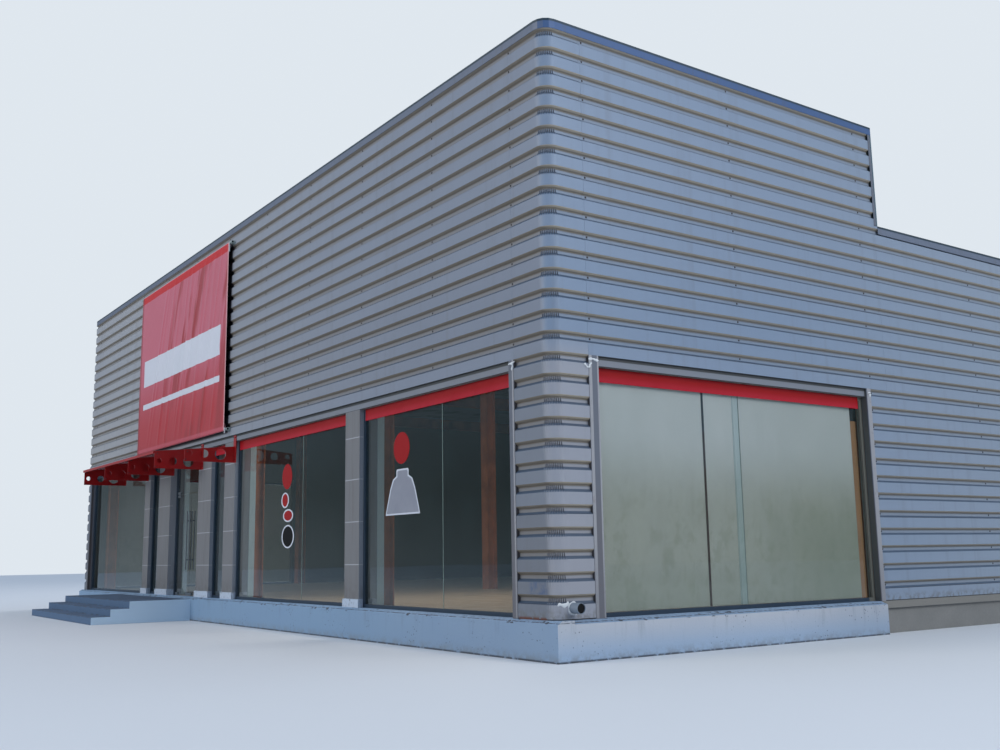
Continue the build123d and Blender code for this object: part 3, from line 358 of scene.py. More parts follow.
def plinthFinish():
    look = plinthLook
    f = Finish("white masonry paint", look)
    fine = f.noise(38.0, 5.0, 0.65)
    broad = f.noise(1.1, 5.0, 0.6, (1, 1, 1.5))
    drip = f.noise(2.6, 4.0, 0.65, (3.2, 3.2, 0.35))
    # painted light and shade: front and side are lit and shaded copies of the paint, the front bluer towards
    # its far end, the side bluer lower down
    sideways = f.sideways(0.3, 0.7)
    front = f.mix(f.fade(f.x, "farFrom"), "front", "frontFar")
    side = f.mix(f.fade(f.z, "sideUp"), "sideLow", "side")
    f.colour = f.mix(sideways, front, side)
    # painted blue shade in broad patches, most on the front
    f.coat(broad * (0.6 - 0.35 * sideways), "blue")
    # painted shade darkens the side towards its far end
    f.coat(f.fade(f.y, "dustFrom") * sideways * 0.22, "drip")
    f.coat(f.ease(drip, 0.52, 0.74) * f.fade(f.z, "dripUp") * 0.30, "drip")
    # the paint is pitted and chipped most at its right front corner
    pitted = f.zone(0.06, **look["pitted"]) * (1.0 - sideways)
    specks = f.ease(f.cells(20.0), 0.20, 0.13) * (f.ease(f.noise(2.6, 3.0), 0.50, 0.62) | pitted)
    f.coat(specks * 0.8, "speck")
    splash = f.fade(f.z, "splashUp") * f.ease(f.noise(9.0, 5.0, 0.7), 0.38, 0.62)
    f.coat(splash * 0.5, "splash")
    # a ragged dark line along the foot, and a cracked joint just under the top edge
    ragged = f.fade(f.z, "footUp") * f.ease(f.noise(11.0, 4.0, 0.7), 0.34, 0.50)
    f.coat(ragged * 0.85, "foot")
    crack = f.band(f.z + 0.010 * f.noise(7.0, 5.0, 0.75), "crackAt", 0.002)
    crack = crack * f.ease(f.noise(16.0, 4.0, 0.7), 0.40, 0.50)
    chips = f.ease(f.cells(8.0, (1, 1, 1.6)), 0.33, 0.25) * f.band(f.z, "chipUp", 0.006)
    chipped = f.ease(f.noise(4.0, 3.0) + f.zone(0.4, **look["corner"]) * 0.14, 0.44, 0.56)
    f.coat((crack | chips * chipped) * 0.9, "crack")
    ridge = f.fade(f.z, "ridgeUp") * f.ease(f.noise(30.0, 4.0, 0.7), 0.44, 0.60)
    f.coat(ridge * 0.45, "drip")
    bare = f.mix(broad, "concrete", "concreteDark")
    bare = f.mix(fine * 0.3, bare, "concreteFine")
    bare = f.mix(f.fade(f.z, "ledgeUp") * 0.6, bare, "ledge")
    f.coat(f.fade(f.y, "plainFrom"), bare)
    return f.done(fine * 0.6 + broad * 0.4, 0.5, 0.010, Roughness=0.62 + 0.2 * fine)


# the same paint, painted in shade on the risers and lit on the ends, worn to grey on the treads and chipped
# along the edges
stepLook = {"riser": (75, 101, 132), "riserDark": (61, 87, 118), "end": (196, 220, 240),
            "tread": (68, 87, 110), "treadDark": (51, 67, 90), "chip": (62, 64, 70), "count": 3}


def stepsFinish():
    look = stepLook
    f = Finish("worn step paint", look)
    broad = f.noise(1.6, 5.0, 0.6)
    fine = f.noise(60.0, 5.0, 0.7)
    alongX, _, upward = f.normal()
    up, end = f.ease(upward, 0.6, 0.9), f.ease(alongX, 0.5, 0.9)
    f.colour = f.mix(broad * 0.5, "riser", "riserDark")
    # painted light: faces that look along x are painted much lighter than the risers in shade
    f.coat(end * 0.9, "end")
    worn = f.mix(fine * 0.5, "tread", "treadDark")
    f.coat(up * (0.55 + 0.45 * f.ease(broad, 0.38, 0.58)), worn)
    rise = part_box("entrance_steps")[1].z / look["count"]
    edge = f.ease(f.z % rise, 0.020, 0.004) + f.ease(f.z % rise, rise - 0.016, rise - 0.004)
    chipped = edge * f.ease(f.noise(7.0, 4.0, 0.7), 0.46, 0.56) * (1.0 - up) * (1.0 - end)
    f.coat(chipped * 0.85, "chip")
    return f.done(fine * 0.5 + broad * 0.3, 0.5, 0.008, Roughness=0.68 + 0.2 * fine)


# square tiles with narrow grey joints
floorLook = {"tile": (196, 178, 152), "tileDark": (166, 150, 128), "grout": (84, 82, 78), "size": 0.60,
             "joint": 0.006}


def floorFinish():
    tile, joint = floorLook["size"], floorLook["joint"]
    f = Finish("beige floor tile", floorLook)
    toX, toY = ((axis % tile).maths("PINGPONG", tile / 2) for axis in (f.x, f.y))
    line = (toX < joint) | (toY < joint)
    cloud = f.noise(3.0, 5.0, 0.6)
    f.colour = f.mix(cloud, "tile", "tileDark")
    f.coat(line * 0.8, "grout")
    return f.done(0.0 - line, 0.4, 0.003, Roughness=0.24 + 0.25 * cloud + 0.3 * line)


# red-brown primer, scratched here and there
steelLook = {"primer": (176, 106, 62), "primerDark": (132, 76, 48), "scratch": (70, 60, 54)}


def steelFinish():
    f = Finish("primed steel", steelLook, Metallic=0.1)
    cloud = f.noise(2.4, 5.0, 0.6)
    scratch = f.noise(24.0, 4.0, 0.7, (1, 1, 0.15))
    f.colour = f.mix(f.ease(cloud, 0.40, 0.66) * 0.7, "primer", "primerDark")
    f.coat(f.ease(scratch, 0.60, 0.72) * 0.25, "scratch")
    return f.done(f.noise(90.0, 3.0), 0.2, 0.002, Roughness=0.5 + 0.2 * cloud)


# zinc in patches of two greys
tubeLook = {"pale": (182, 196, 192), "dark": (136, 150, 147)}


def tubeFinish():
    f = Finish("galvanised tube", tubeLook, Metallic=0.6)
    grey = f.split(f.cells(60.0, (1.0, 1.0, 0.6), "Color"))[0]
    f.colour = f.mix(grey * 0.5 + f.noise(8.0, 3.0) * 0.4, "pale", "dark")
    return f.done(f.noise(140.0, 2.0), 0.15, 0.001, Roughness=0.32 + 0.22 * grey)


# roof sheets with dried pools and specks of dirt
roofLook = {"sheet": (138, 144, 150), "sheetDark": (112, 118, 124), "pool": (86, 84, 80),
            "speck": (60, 60, 58)}


def roofFinish():
    f = Finish("roof sheet", roofLook, Metallic=0.3)
    pools = f.ease(f.noise(1.3, 4.0, 0.6), 0.50, 0.66)
    f.colour = f.mix(f.noise(0.5, 5.0, 0.6), "sheet", "sheetDark")
    f.coat(pools * 0.4, "pool")
    f.coat(f.ease(f.noise(30.0, 4.0), 0.6, 0.72) * 0.3, "speck")
    return f.done(f.noise(1.5, 2.0) * 0.5 + f.noise(90.0, 2.0) * 0.03, 0.3, 0.01,
                  Roughness=0.48 + 0.3 * pools)


# painted boards with a joint every 1.2 m, dusty along their feet
liningLook = {"board": (118, 118, 112), "boardDark": (92, 94, 90), "gap": (60, 60, 58), "dust": (66, 62, 56),
              "width": 1.2, "joint": 0.004, "dustUp": (0.68, 0.50)}


def liningFinish():
    board, joint = liningLook["width"], liningLook["joint"]
    f = Finish("painted lining board", liningLook)
    line = ((f.x + f.y) % board).maths("PINGPONG", board / 2) < joint
    cloud = f.noise(0.9, 4.0, 0.6)
    f.colour = f.mix(cloud * 0.6, "board", "boardDark")
    f.coat(line * 0.6, "gap")
    f.coat(f.fade(f.z, "dustUp") * 0.35, "dust")
    return f.done(f.noise(120.0, 3.0) * 0.2 - line, 0.3, 0.003, Roughness=0.66 + 0.2 * cloud)


# panelled piers on rough painted feet
pierLook = {"face": (116, 117, 121), "shade": (100, 103, 107), "grime": (86, 82, 80),
            "flank": (140, 148, 160), "foot": (176, 190, 208), "footRough": (84, 88, 98),
            "footUp": (0.586, 0.576), "grimeUp": (0.90, 0.58)}


def pierFinish():
    f = Finish("pier panel", pierLook, Metallic=0.1)
    cloud = f.noise(0.8, 4.0, 0.55, (1, 1, 0.5))
    streak = f.noise(3.0, 4.0, 0.6, (5.0, 5.0, 0.35))
    rough = f.noise(24.0, 5.0, 0.7)
    f.colour = f.mix(cloud * 0.6, "face", "shade")
    f.coat(f.ease(f.normal()[0], 0.5, 0.9) * 0.7, "flank")
    f.coat(f.ease(streak, 0.50, 0.74) * 0.28, "grime")
    f.coat(f.fade(f.z, "grimeUp") * f.ease(f.noise(8.0, 4.0), 0.40, 0.62) * 0.35, "grime")
    foot = f.fade(f.z + 0.02 * rough, "footUp")
    f.coat(foot, f.mix(f.ease(rough, 0.52, 0.70) * 0.7, "foot", "footRough"))
    return f.done(f.noise(1.6, 2.0) * 0.4 + f.noise(160.0, 2.0) * 0.03 + rough * foot * 2.0, 0.3, 0.006,
                  Roughness=0.48 + 0.18 * streak + 0.25 * foot)


# painted bars, dusty on top; the far upright of the side window is weathered to grey
frameLook = {"dust": (120, 120, 116), "wear": (110, 112, 114), "farUpright": (5.58, 5.62)}


def frameFinish(name, base, edge, weathered=None):
    f = Finish(name, frameLook, Metallic=0.2)
    cloud = f.noise(1.5, 4.0, 0.6)
    dust = f.ease(f.normal()[2], 0.5, 0.9)
    f.colour = f.mix(cloud * 0.5, base, edge)
    if weathered:
        f.coat(f.fade(f.y, "farUpright") * 0.9, weathered)
    f.coat(dust * 0.45, "dust")
    f.coat(f.ease(f.noise(40.0, 4.0), 0.62, 0.74) * 0.2, "wear")
    return f.done(f.noise(200.0, 2.0), 0.12, 0.001, Roughness=0.30 + 0.22 * cloud + 0.25 * dust)


# a nearly clear body under a mirror-like surface, mixed by the Fresnel law on the outer faces
glassLook = {"smear": (58, 74, 74), "mirror": (0.80, 0.94, 1.0, 1.0), "mirrorRough": 0.02, "refraction": 1.5,
             "waveDepth": 0.004}


def glassFinish(name, body, clearness):
    look = glassLook
    f = Finish(name, look, Roughness=0.03, Specular_IOR_Level=0.0)
    smear = f.noise(2.0, 4.0, 0.6, (1, 1, 0.6))
    f.feed(Base_Color=f.mix(smear, body, "smear"), Alpha=clearness + 0.05 * smear)
    wave = f.node("ShaderNodeBump", {},
                  {"Height": f.noise(0.9, 1.0), "Strength": 0.25, "Distance": look["waveDepth"]})
    mirror = f.node("ShaderNodeBsdfPrincipled", {}, {"Metallic": 1.0, "Base Color": look["mirror"],
                                                     "Roughness": look["mirrorRough"], "Normal": wave})
    edge = f.node("ShaderNodeFresnel", {}, {"IOR": look["refraction"]})
    outer = 1.0 - f.node("ShaderNodeNewGeometry", output="Backfacing")
    blend = f.node("ShaderNodeMixShader", {}, {0: edge * outer, 1: Wire(f, f.shader.outputs[0]), 2: mirror})
    f.tree.links.new(blend.socket, f.tree.nodes["Material Output"].inputs["Surface"])
    return f.material


# milky film: pale above, grey-green below, with faint upright streaks, a painted mottled reflection over its
# lower half, and painted shade towards its far end and along its foot
filmLook = {"high": (224, 232, 230), "low": (186, 190, 172), "mottle": (146, 156, 132),
            "streak": (200, 208, 204), "paleUp": (1.6, 2.7), "mottleUp": (2.4, 1.3), "darkAlong": (2.4, 5.0),
            "darkUp": (2.3, 1.2), "footUp": (1.15, 0.75)}


def filmFinish(name, veil=None):
    f = Finish(name, filmLook)
    streak = f.noise(1.4, 4.0, 0.6, (2.5, 2.5, 0.3))
    f.colour = f.mix(f.fade(f.z, "paleUp"), "low", "high")
    f.coat(streak * 0.5, "streak")
    # painted reflection: a leafy mottle over the lower half
    reflectionMottle = f.ease(f.noise(5.0, 6.0, 0.75, (1, 1, 0.7)), 0.46, 0.62) * f.fade(f.z, "mottleUp")
    f.coat(reflectionMottle * 0.35, "mottle")
    # painted shade: darker towards the far end, more so lower down, and along the foot
    paintedShade = f.fade(f.y, "darkAlong") * (0.18 + 0.52 * f.fade(f.z, "darkUp"))
    f.coat(paintedShade | f.fade(f.z, "footUp") * 0.32, "mottle")
    if veil:
        f.coat(0.28, veil)
    return f.done(f.noise(300.0, 2.0), 0.15, 0.0006, Roughness=0.35 + 0.2 * streak,
                  Alpha=0.955 + 0.03 * streak)


def paintFinish(name, base, dark, shine, rough=0.3, coat=0.4, wear=(90, 60, 56), paleBelow=None):
    f = Finish(name, paleBelow, Coat_Roughness=0.15, Specular_IOR_Level=shine)
    cloud = f.noise(1.6, 5.0, 0.6)
    dirt = f.ease(f.noise(7.0, 5.0, 0.65), 0.52, 0.72)
    f.colour = f.mix(cloud * 0.7, base, dark)
    if paleBelow:
        f.coat(f.fade(f.z, "fades") * f.fade(f.z, "starts") * 0.8, "colour")
    f.coat(dirt * 0.2, wear)
    return f.done(f.noise(120.0, 3.0), 0.15, 0.0015, Roughness=rough + 0.2 * cloud,
                  Coat_Weight=coat - 0.3 * dirt)


# clear ribbed sheet over the canopy, weathered, with a painted red cast of the red steel seen through it
coverLook = {"pale": (176, 120, 122), "deep": (130, 70, 72)}


def coverFinish():
    f = Finish("clear canopy sheet", coverLook, Coat_Weight=0.6)
    haze = f.noise(2.5, 5.0, 0.6)
    f.colour = f.mix(haze, "pale", "deep")
    return f.done(f.noise(6.0, 3.0), 0.2, 0.003, Roughness=0.18 + 0.3 * haze, Alpha=0.55 + 0.3 * haze)


# banner cloth: doubled hems, a painted pale sheen of sky light over the upper half, painted shade in the
# folds, and two plain pale stripes
clothLook = {
    "low": (167, 14, 28), "haze": (188, 97, 117), "shade": (148, 32, 48), "fold": (146, 8, 20),
    "hem": (178, 7, 18), "topEdge": (214, 150, 158), "footHem": (186, 80, 98), "leftEdge": (130, 14, 26),
    "rightEdge": (214, 170, 176), "stripe": (196, 206, 218),
    "hazeUp": (4.0, 5.6), "hemUp": (7.13, 7.145), "topEdgeUp": (7.268, 7.278), "footHemUp": (3.68, 3.66),
    "topSeam": (7.11, 7.116), "footSeam": (3.66, 3.666), "leftEdgeTo": (0.022, 0.016),
    "rightEdgeFrom": (0.990, 0.994),
    "broad": (5.105, 5.705), "slim": (4.575, 4.695), "stripeAcross": (0.06, 0.94),
    "slant": 0.22, "foldScale": (11.0, 1.3), "foldsFrom": (0.36, 0.58), "weft": 900 * 6.28, "warp": 900 * 4.4,
}


def clothFinish():
    look = clothLook
    f = Finish("banner cloth", look, Sheen_Weight=0.1, Coat_Roughness=0.35)
    across, up, _ = f.split(f.node("ShaderNodeUVMap", {"uv_map": "cloth"}))
    cloud = f.noise(0.7, 4.0, 0.55)
    # painted reflection: a pale pink sheen of sky light over the upper half
    f.colour = f.mix(f.fade(f.z, "hazeUp") * 0.9, "low", "haze")
    f.coat(cloud * 0.4, "shade")
    # painted shade along the folds, which slant: noise of (across + slant * up) and up, each stretched by its
    # own scale
    slanted = across + up * look["slant"]
    wide, tall = look["foldScale"]
    fold = f.node("ShaderNodeTexNoise", {}, {
        "Vector": f.node("ShaderNodeCombineXYZ", {}, {0: slanted * wide, 1: up * tall}),
        "Scale": 1.0, "Detail": 3.0, "Roughness": 0.6})
    f.coat(f.ease(fold, 0.51, 0.60) * f.fade(slanted, "foldsFrom") * 0.92, "fold")
    # the doubled hem follows the top edge a little unevenly
    hem = f.fade(f.z + 0.05 * f.noise(3.0, 3.0, 0.6), "hemUp")
    f.coat(hem, "hem")
    f.coat(f.fade(f.z, "topEdgeUp") * 0.8, "topEdge")
    f.coat(f.fade(f.z, "footHemUp") * 0.6, "footHem")
    f.coat(f.fade(across, "leftEdgeTo") * 0.7, "leftEdge")
    f.coat(f.fade(across, "rightEdgeFrom") * 0.7, "rightEdge")
    stripes = f.band(f.z, "broad", 0.004) + f.band(f.z, "slim", 0.004)
    f.coat(stripes * f.band(across, "stripeAcross", 0.001) * 0.92, "stripe")
    weave = (across * look["weft"]).maths("SINE") * (up * look["warp"]).maths("SINE")
    seam = f.band(f.z, "topSeam", 0.002) | f.band(f.z, "footSeam", 0.002)
    return f.done(weave * 0.15 - seam + f.noise(5.0, 3.0) * 0.4, 0.35, 0.003,
                  Roughness=0.46 + 0.12 * cloud + 0.3 * hem, Coat_Weight=(0.12 + 0.1 * cloud) * (1.0 - hem))


# slat behind the film: slate blue above, grey in the middle and brown below
slatLook = {"high": (40, 62, 78), "middle": (80, 74, 82), "low": (70, 44, 32), "dirt": (50, 46, 46),
            "highUp": (2.68, 2.70), "lowUp": (2.26, 2.16)}


def slatFinish():
    f = Finish("painted slat", slatLook)
    cloud = f.noise(12.0, 4.0, 0.6)
    f.colour = f.mix(f.fade(f.z, "highUp"), "middle", "high")
    f.coat(f.fade(f.z, "lowUp"), "low")
    f.coat(cloud * 0.4, "dirt")
    return f.done(f.noise(60.0, 3.0), 0.2, 0.001, Roughness=0.5 + 0.2 * cloud)


def plainFinish(name, first, second, rough, metal=0.0, scale=20.0, shine=0.5):
    f = Finish(name, Metallic=metal, Specular_IOR_Level=shine)
    cloud = f.noise(scale, 4.0, 0.6)
    f.colour = f.mix(cloud, first, second)
    return f.done(f.noise(scale * 6, 3.0), 0.2, 0.001, Roughness=rough + 0.2 * cloud - 0.1)


# the lower half of the strips is paler, but nothing below them
paleLowStrip = {"colour": (168, 28, 46), "fades": (3.29, 3.20), "starts": (2.9, 3.1)}

cladding = claddingFinish("cladding")
crimpedCladding = claddingFinish("crimped cladding", crimped=True)
flashing = copingFinish()
trimSheet = trimFinish()
headBand = headBandFinish()
whitePaint = plinthFinish()
stepPaint = stepsFinish()
floorTile = floorFinish()
primer = steelFinish()
galvanised = tubeFinish()
roofSheet = roofFinish()
lining = liningFinish()
pierPanel = pierFinish()
frameNavy = frameFinish("window frame", (30, 48, 66), (44, 64, 82), (112, 112, 104))
doorMetal = frameFinish("door rail", (86, 96, 106), (112, 120, 128))
clearGlass = glassFinish("window glass", (20, 30, 28), 0.14)
doorGlass = glassFinish("door glass", (24, 34, 32), 0.12)
frostedFilm = filmFinish("frosted film")
canopyRed = paintFinish("canopy red", (160, 10, 14), (130, 8, 11), 0.32)
stripRed = paintFinish("strip red", (150, 5, 12), (136, 4, 9), 0.15, 0.5, 0.3, (120, 20, 26), paleLowStrip)
clearCover = coverFinish()
bannerCloth = clothFinish()
pipeGrey = plainFinish("pipe plastic", (128, 140, 154), (96, 108, 124), 0.45)
sealant = plainFinish("white sealant", (222, 226, 230), (184, 190, 194), 0.55, scale=30.0)
chalk = plainFinish("white joint", (176, 180, 188), (146, 150, 158), 0.7, scale=30.0)
screwMetal = plainFinish("screw", (66, 68, 74), (34, 34, 40), 0.5, 0.4, 40.0)
# flat black for small black parts, and for the painted shade inside the drain pipe
blackRubberAndShade = plainFinish("black rubber", (12, 13, 16), (22, 23, 25), 0.7, shine=0.15)
slatPaint = slatFinish()
tanPost = plainFinish("tan post", (176, 128, 74), (140, 104, 66), 0.6, scale=3.0)
overlapFilm = filmFinish("film overlap", (140, 196, 206))
stickerWhite = plainFinish("white sticker", (206, 212, 222), (184, 190, 204), 0.4, scale=6.0)
stickerGrey = plainFinish("grey sticker", (142, 146, 158), (118, 122, 136), 0.4, scale=3.0)
jointGreen = plainFinish("pane joint", (118, 138, 132), (92, 112, 108), 0.35)
liningBlue = plainFinish("blue-grey board", (196, 218, 226), (176, 202, 212), 0.6, scale=2.0)
print("finishes made:", len(bpy.data.materials))

nodeFinishes = {
    cladding: ["cladding_front", "cladding_rear", "cladding_high_rear", "cladding_right_high",
               "cladding_left_high", "cladding_right_low", "cladding_left_low", "corner_sheet_right",
               "corner_sheet_left"],
    flashing: ["coping_high", "coping_high_rear", "coping_low"],
    trimSheet: ["upright_trims", "window_trims"],
    headBand: ["head_bands"],
    whitePaint: ["plinth_front", "plinth_right", "plinth_left", "plinth_rear"],
    stepPaint: ["entrance_steps"],
    floorTile: ["floor_slab"],
    primer: ["steel_columns", "high_roof_beams", "low_roof_beams"],
    roofSheet: ["roof_high", "roof_low"],
    lining: ["lining_front", "lining_corners", "lining_right", "lining_left", "lining_rear",
             "lining_high_rear"],
    pierPanel: ["piers"],
    frameNavy: ["window_frames_front", "window_frames_side", "door_posts", "door_head"],
    doorMetal: ["door_fittings_left", "door_fittings_right", "overpanel_patches"],
    clearGlass: ["window_glass_front", "window_glass_side"],
    doorGlass: ["door_overpanel", "door_leaf_left", "door_leaf_right"],
    canopyRed: ["canopy_brackets", "canopy_rail"],
    clearCover: ["canopy_covers"],
    bannerCloth: ["banner"],
    galvanised: ["banner_tubes"],
    pipeGrey: ["drain_pipe"],
}
for finish, names in nodeFinishes.items():
    for name in names:
        for holder in nodes[name].material_slots:
            holder.material = finish
print("nodes dressed:", sum(len(names) for names in nodeFinishes.values()))


def makePiece(name, shape, finish, smooth=False, merge=True, uv=None):
    # points (n, 3) and four-cornered faces (m, 4) become one mesh; doubles are merged, so poles close
    points, faces = shape
    mesh = bpy.data.meshes.new(name)
    mesh.vertices.add(len(points))
    mesh.vertices.foreach_set("co", np.asarray(points, np.float32).ravel())
    mesh.loops.add(faces.size)
    mesh.loops.foreach_set("vertex_index", faces.astype(np.int32).ravel())
    mesh.polygons.add(len(faces))
    mesh.polygons.foreach_set("loop_start", np.arange(0, faces.size, 4, dtype=np.int32))
    mesh.update(calc_edges=True)
    if uv is not None:
        layer = mesh.uv_layers.new(name=uv[0])
        layer.data.foreach_set("uv", uv[1][faces.ravel()].astype(np.float32).ravel())
    if merge:
        work = bmesh.new()
        work.from_mesh(mesh)
        bmesh.ops.remove_doubles(work, verts=work.verts, dist=1e-5)
        bmesh.ops.recalc_face_normals(work, faces=work.faces)
        work.to_mesh(mesh)
        work.free()
    mesh.polygons.foreach_set("use_smooth", np.full(len(mesh.polygons), smooth))
    mesh.materials.append(finish)
    piece = bpy.data.objects.new(name, mesh)
    bpy.context.scene.collection.objects.link(piece)
    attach(piece, "building")
    return piece


def thicken(piece, thickness, offset):
    # gives a surface the thickness of its sheet
    wall = piece.modifiers.new("sheet", "SOLIDIFY")
    wall.thickness, wall.offset = thickness, offset


def gridFaces(rows, columns, closed=False):
    # the four corners of each cell of rows x columns points; closed joins the last column to the first
    across = np.arange(columns if closed else columns - 1)
    down = np.arange(rows - 1)[:, None]
    a = down * columns + across
    b = down * columns + (across + 1) % columns
    return np.stack([a, b, b + columns, a + columns], -1).reshape(-1, 4)


def capFaces(count):
    # an even ring of points closed by quads: k, k+1, n-2-k, n-1-k
    k = np.arange(count // 2 - 1)
    return np.stack([k, k + 1, count - 2 - k, count - 1 - k], -1)


def joined(*shapes):
    # several (points, faces) shapes as one, each face list moved on by the points before it
    moved, total = [], 0
    for points, faces in shapes:
        moved.append(faces + total)
        total += len(points)
    return np.concatenate([p for p, _ in shapes]), np.concatenate(moved)


def roundedBar(width, height, radius):
    # outline of a rectangle with round corners: corner centre plus radius times (cos a, sin a)
    turn = np.linspace(0, math.pi / 2, 3)
    corners = []
    for k, (sx, sy) in enumerate(((1, 1), (-1, 1), (-1, -1), (1, -1))):
        angle = turn + k * math.pi / 2
        centre = np.array([sx * (width / 2 - radius), sy * (height / 2 - radius)])
        corners.append(centre + radius * np.stack([np.cos(angle), np.sin(angle)], -1))
    return np.concatenate(corners)


def ring(radius, count):
    # points on a circle: radius times (cos a, sin a)
    angle = np.arange(count) * 2 * math.pi / count
    return radius * np.stack([np.cos(angle), np.sin(angle)], -1)


def carry(outline, path, side, up):
    # outline points (a, b) carried along a path: path point + a * side + b * up, capped at both ends
    path = np.asarray(path, float)
    side = np.broadcast_to(np.asarray(side, float), path.shape)
    up = np.broadcast_to(np.asarray(up, float), path.shape)
    outline = np.broadcast_to(outline, (len(path),) + np.shape(outline)[-2:])
    points = path[:, None] + outline[..., :1] * side[:, None] + outline[..., 1:] * up[:, None]
    rows, columns = points.shape[:2]
    caps = capFaces(columns), capFaces(columns) + (rows - 1) * columns
    faces = np.concatenate([gridFaces(rows, columns, True), *caps])
    return points.reshape(-1, 3), faces


def turned(profile, count):
    # a profile of (radius, height) turned about its axis: (r cos a, r sin a, h)
    radii, heights = np.asarray(profile, float).T[..., None]
    circle = ring(1.0, count)
    points = np.stack([radii * circle[:, 0], radii * circle[:, 1],
                       np.broadcast_to(heights, (len(radii), count))], -1)
    return points.reshape(-1, 3), gridFaces(len(radii), count, True)


def placed(shape, places, normals):
    # copies of a small shape: place + x * first tangent + y * second tangent + z * normal
    points, faces = shape
    places = np.asarray(places, float)
    normals = np.broadcast_to(np.asarray(normals, float), places.shape)
    helper = np.where(np.abs(normals[:, 2:]) < 0.9, [[0.0, 0.0, 1.0]], [[1.0, 0.0, 0.0]])
    first = np.cross(helper, normals)
    first /= np.linalg.norm(first, axis=1, keepdims=True)
    second = np.cross(normals, first)
    moved = (places[:, None] + points[None, :, :1] * first[:, None] + points[None, :, 1:2] * second[:, None]
             + points[None, :, 2:] * normals[:, None])
    order = faces[None] + (np.arange(len(places)) * len(points))[:, None, None]
    return moved.reshape(-1, 3), order.reshape(-1, 4)


def bars(rows, width, thickness, radius):
    # straight rounded strips from (start, end, away): a bar carried from start to end, its width lying
    # along |away x (end - start)| and its thickness along away
    outline, shapes = roundedBar(width, thickness, radius), []
    for start, end, away in rows:
        side = np.abs(np.cross(away, np.subtract(end, start)))
        shapes.append(carry(outline, (start, end), side / np.linalg.norm(side), away))
    return joined(*shapes)


def slab(low, high, radius=0.003):
    # an upright block with rounded edges between two opposite corners
    low, high = np.asarray(low, float), np.asarray(high, float)
    middle, size = (low + high) / 2, high - low
    path = [(middle[0], middle[1], low[2]), (middle[0], middle[1], high[2])]
    return carry(roundedBar(size[0], size[1], min(radius, size[:2].min() / 2.1)), path, (1, 0, 0), (0, 1, 0))


def ribDepth(height):
    # how far the sheet lies behind its crowns: 0 on a crown, straight webs, full depth in a valley
    up = np.maximum(height - building["ribBase"], 0) % rib["pitch"]
    lower = rib["crown"] + rib["web"]
    edges = [0, rib["crown"], lower, lower + rib["valley"], rib["pitch"]]
    return np.interp(up, edges, [0, 0, rib["depth"], rib["depth"], 0])


def bendPath(node, side, stations):
    # crown line of a corner: front leg, quarter circle, side leg; returns points and outward directions
    low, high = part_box(node)
    radius, front, edge = building["bendRadius"], building["frontFace"], building["rightFace"]
    legStart = low.x if side > 0 else -high.x
    centre = np.array([edge - radius, front + radius])
    angle = np.radians(np.asarray(stations) * 90)
    outward = np.stack([np.sin(angle), -np.cos(angle)], -1)
    points = np.concatenate([[[legStart, front]], centre + radius * outward, [[edge, high.y]]])
    outward = np.concatenate([[[0, -1]], outward, [[1, 0]]])
    return points * [side, 1], outward * [side, 1]


def crimpedCorner(name, node, side):
    # point(s, z) = crown point(s) - outward(s) * (rib depth(z) - crimp(s) * valley mask(z))
    c = cornerSheet
    stations = np.linspace(0, 1, c["crimps"] * c["perCrimp"] + 1)
    flat, outward = bendPath(node, side, stations)
    low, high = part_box(node)
    ribs = np.arange(0, c["mostRibs"])[:, None] * rib["pitch"] + building["ribBase"]
    heights = (ribs + np.asarray(c["rows"])).ravel()
    heights = np.concatenate([[low.z, low.z + c["footEdge"]], heights[heights < high.z], [high.z]])
    phase = (stations * c["crimps"]) % 1.0 - 0.5
    ridge = np.clip(1 - np.abs(phase) / c["crimpWidth"], 0, 1)
    ridge = np.concatenate([[0], ridge, [0]])
    up = np.maximum(heights - building["ribBase"], 0) % rib["pitch"]
    mask = np.interp(up, c["crimpUp"], [0, 1, 1, 0], left=0, right=0)
    depth = ribDepth(heights)[:, None] - c["crimpHeight"] * mask[:, None] * ridge[None]
    xy = flat[None] - outward[None] * depth[..., None]
    z = np.broadcast_to(heights[:, None, None], xy.shape[:2] + (1,))
    points = np.concatenate([xy, z], -1)
    faces = gridFaces(*points.shape[:2])
    if side < 0:
        faces = faces[:, ::-1]
    # the crimp count along the bend, steady on both legs
    count = np.concatenate([[0], stations * c["crimps"], [c["crimps"]]])
    uv = np.stack([np.broadcast_to(count, points.shape[:2]), z[..., 0]], -1).reshape(-1, 2)
    piece = makePiece(name, (points.reshape(-1, 3), faces), crimpedCladding, merge=False,
                      uv=("crimp", uv))
    thicken(piece, c["thickness"], -1.0)
    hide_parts(node)


crimpedCorner("crimped_corner_right", "corner_sheet_right", 1)
crimpedCorner("crimped_corner_left", "corner_sheet_left", -1)
print("corner sheets crimped")

# self-drilling screws in the valley floors: a washer, a collar and a head
screwPlan = {
    "frontColumns": [9.30, 7.44, 5.38] + [3.52 - 1.86 * k for k in range(8)],
    "sideColumns": [0.57, 3.14, 5.90, 8.69, 11.39, 14.09],
    "rearColumns": [-9.3 + 1.86 * k for k in range(11)],
    "firstValley": 0.1975, "overHead": 12, "highLast": 27, "lowLast": 20, "windowEnd": 5.85,
    "outline": [(0, 0), (0.014, 0), (0.014, 0.0018), (0.0080, 0.0030), (0.0066, 0.0080), (0, 0.0084)],
    "sides": 8,
}


def valleys(first, last):
    # heights of the valley floors, counted up from the lowest
    start = building["ribBase"] + screwPlan["firstValley"]
    return [start + rib["pitch"] * k for k in range(first, last + 1)]


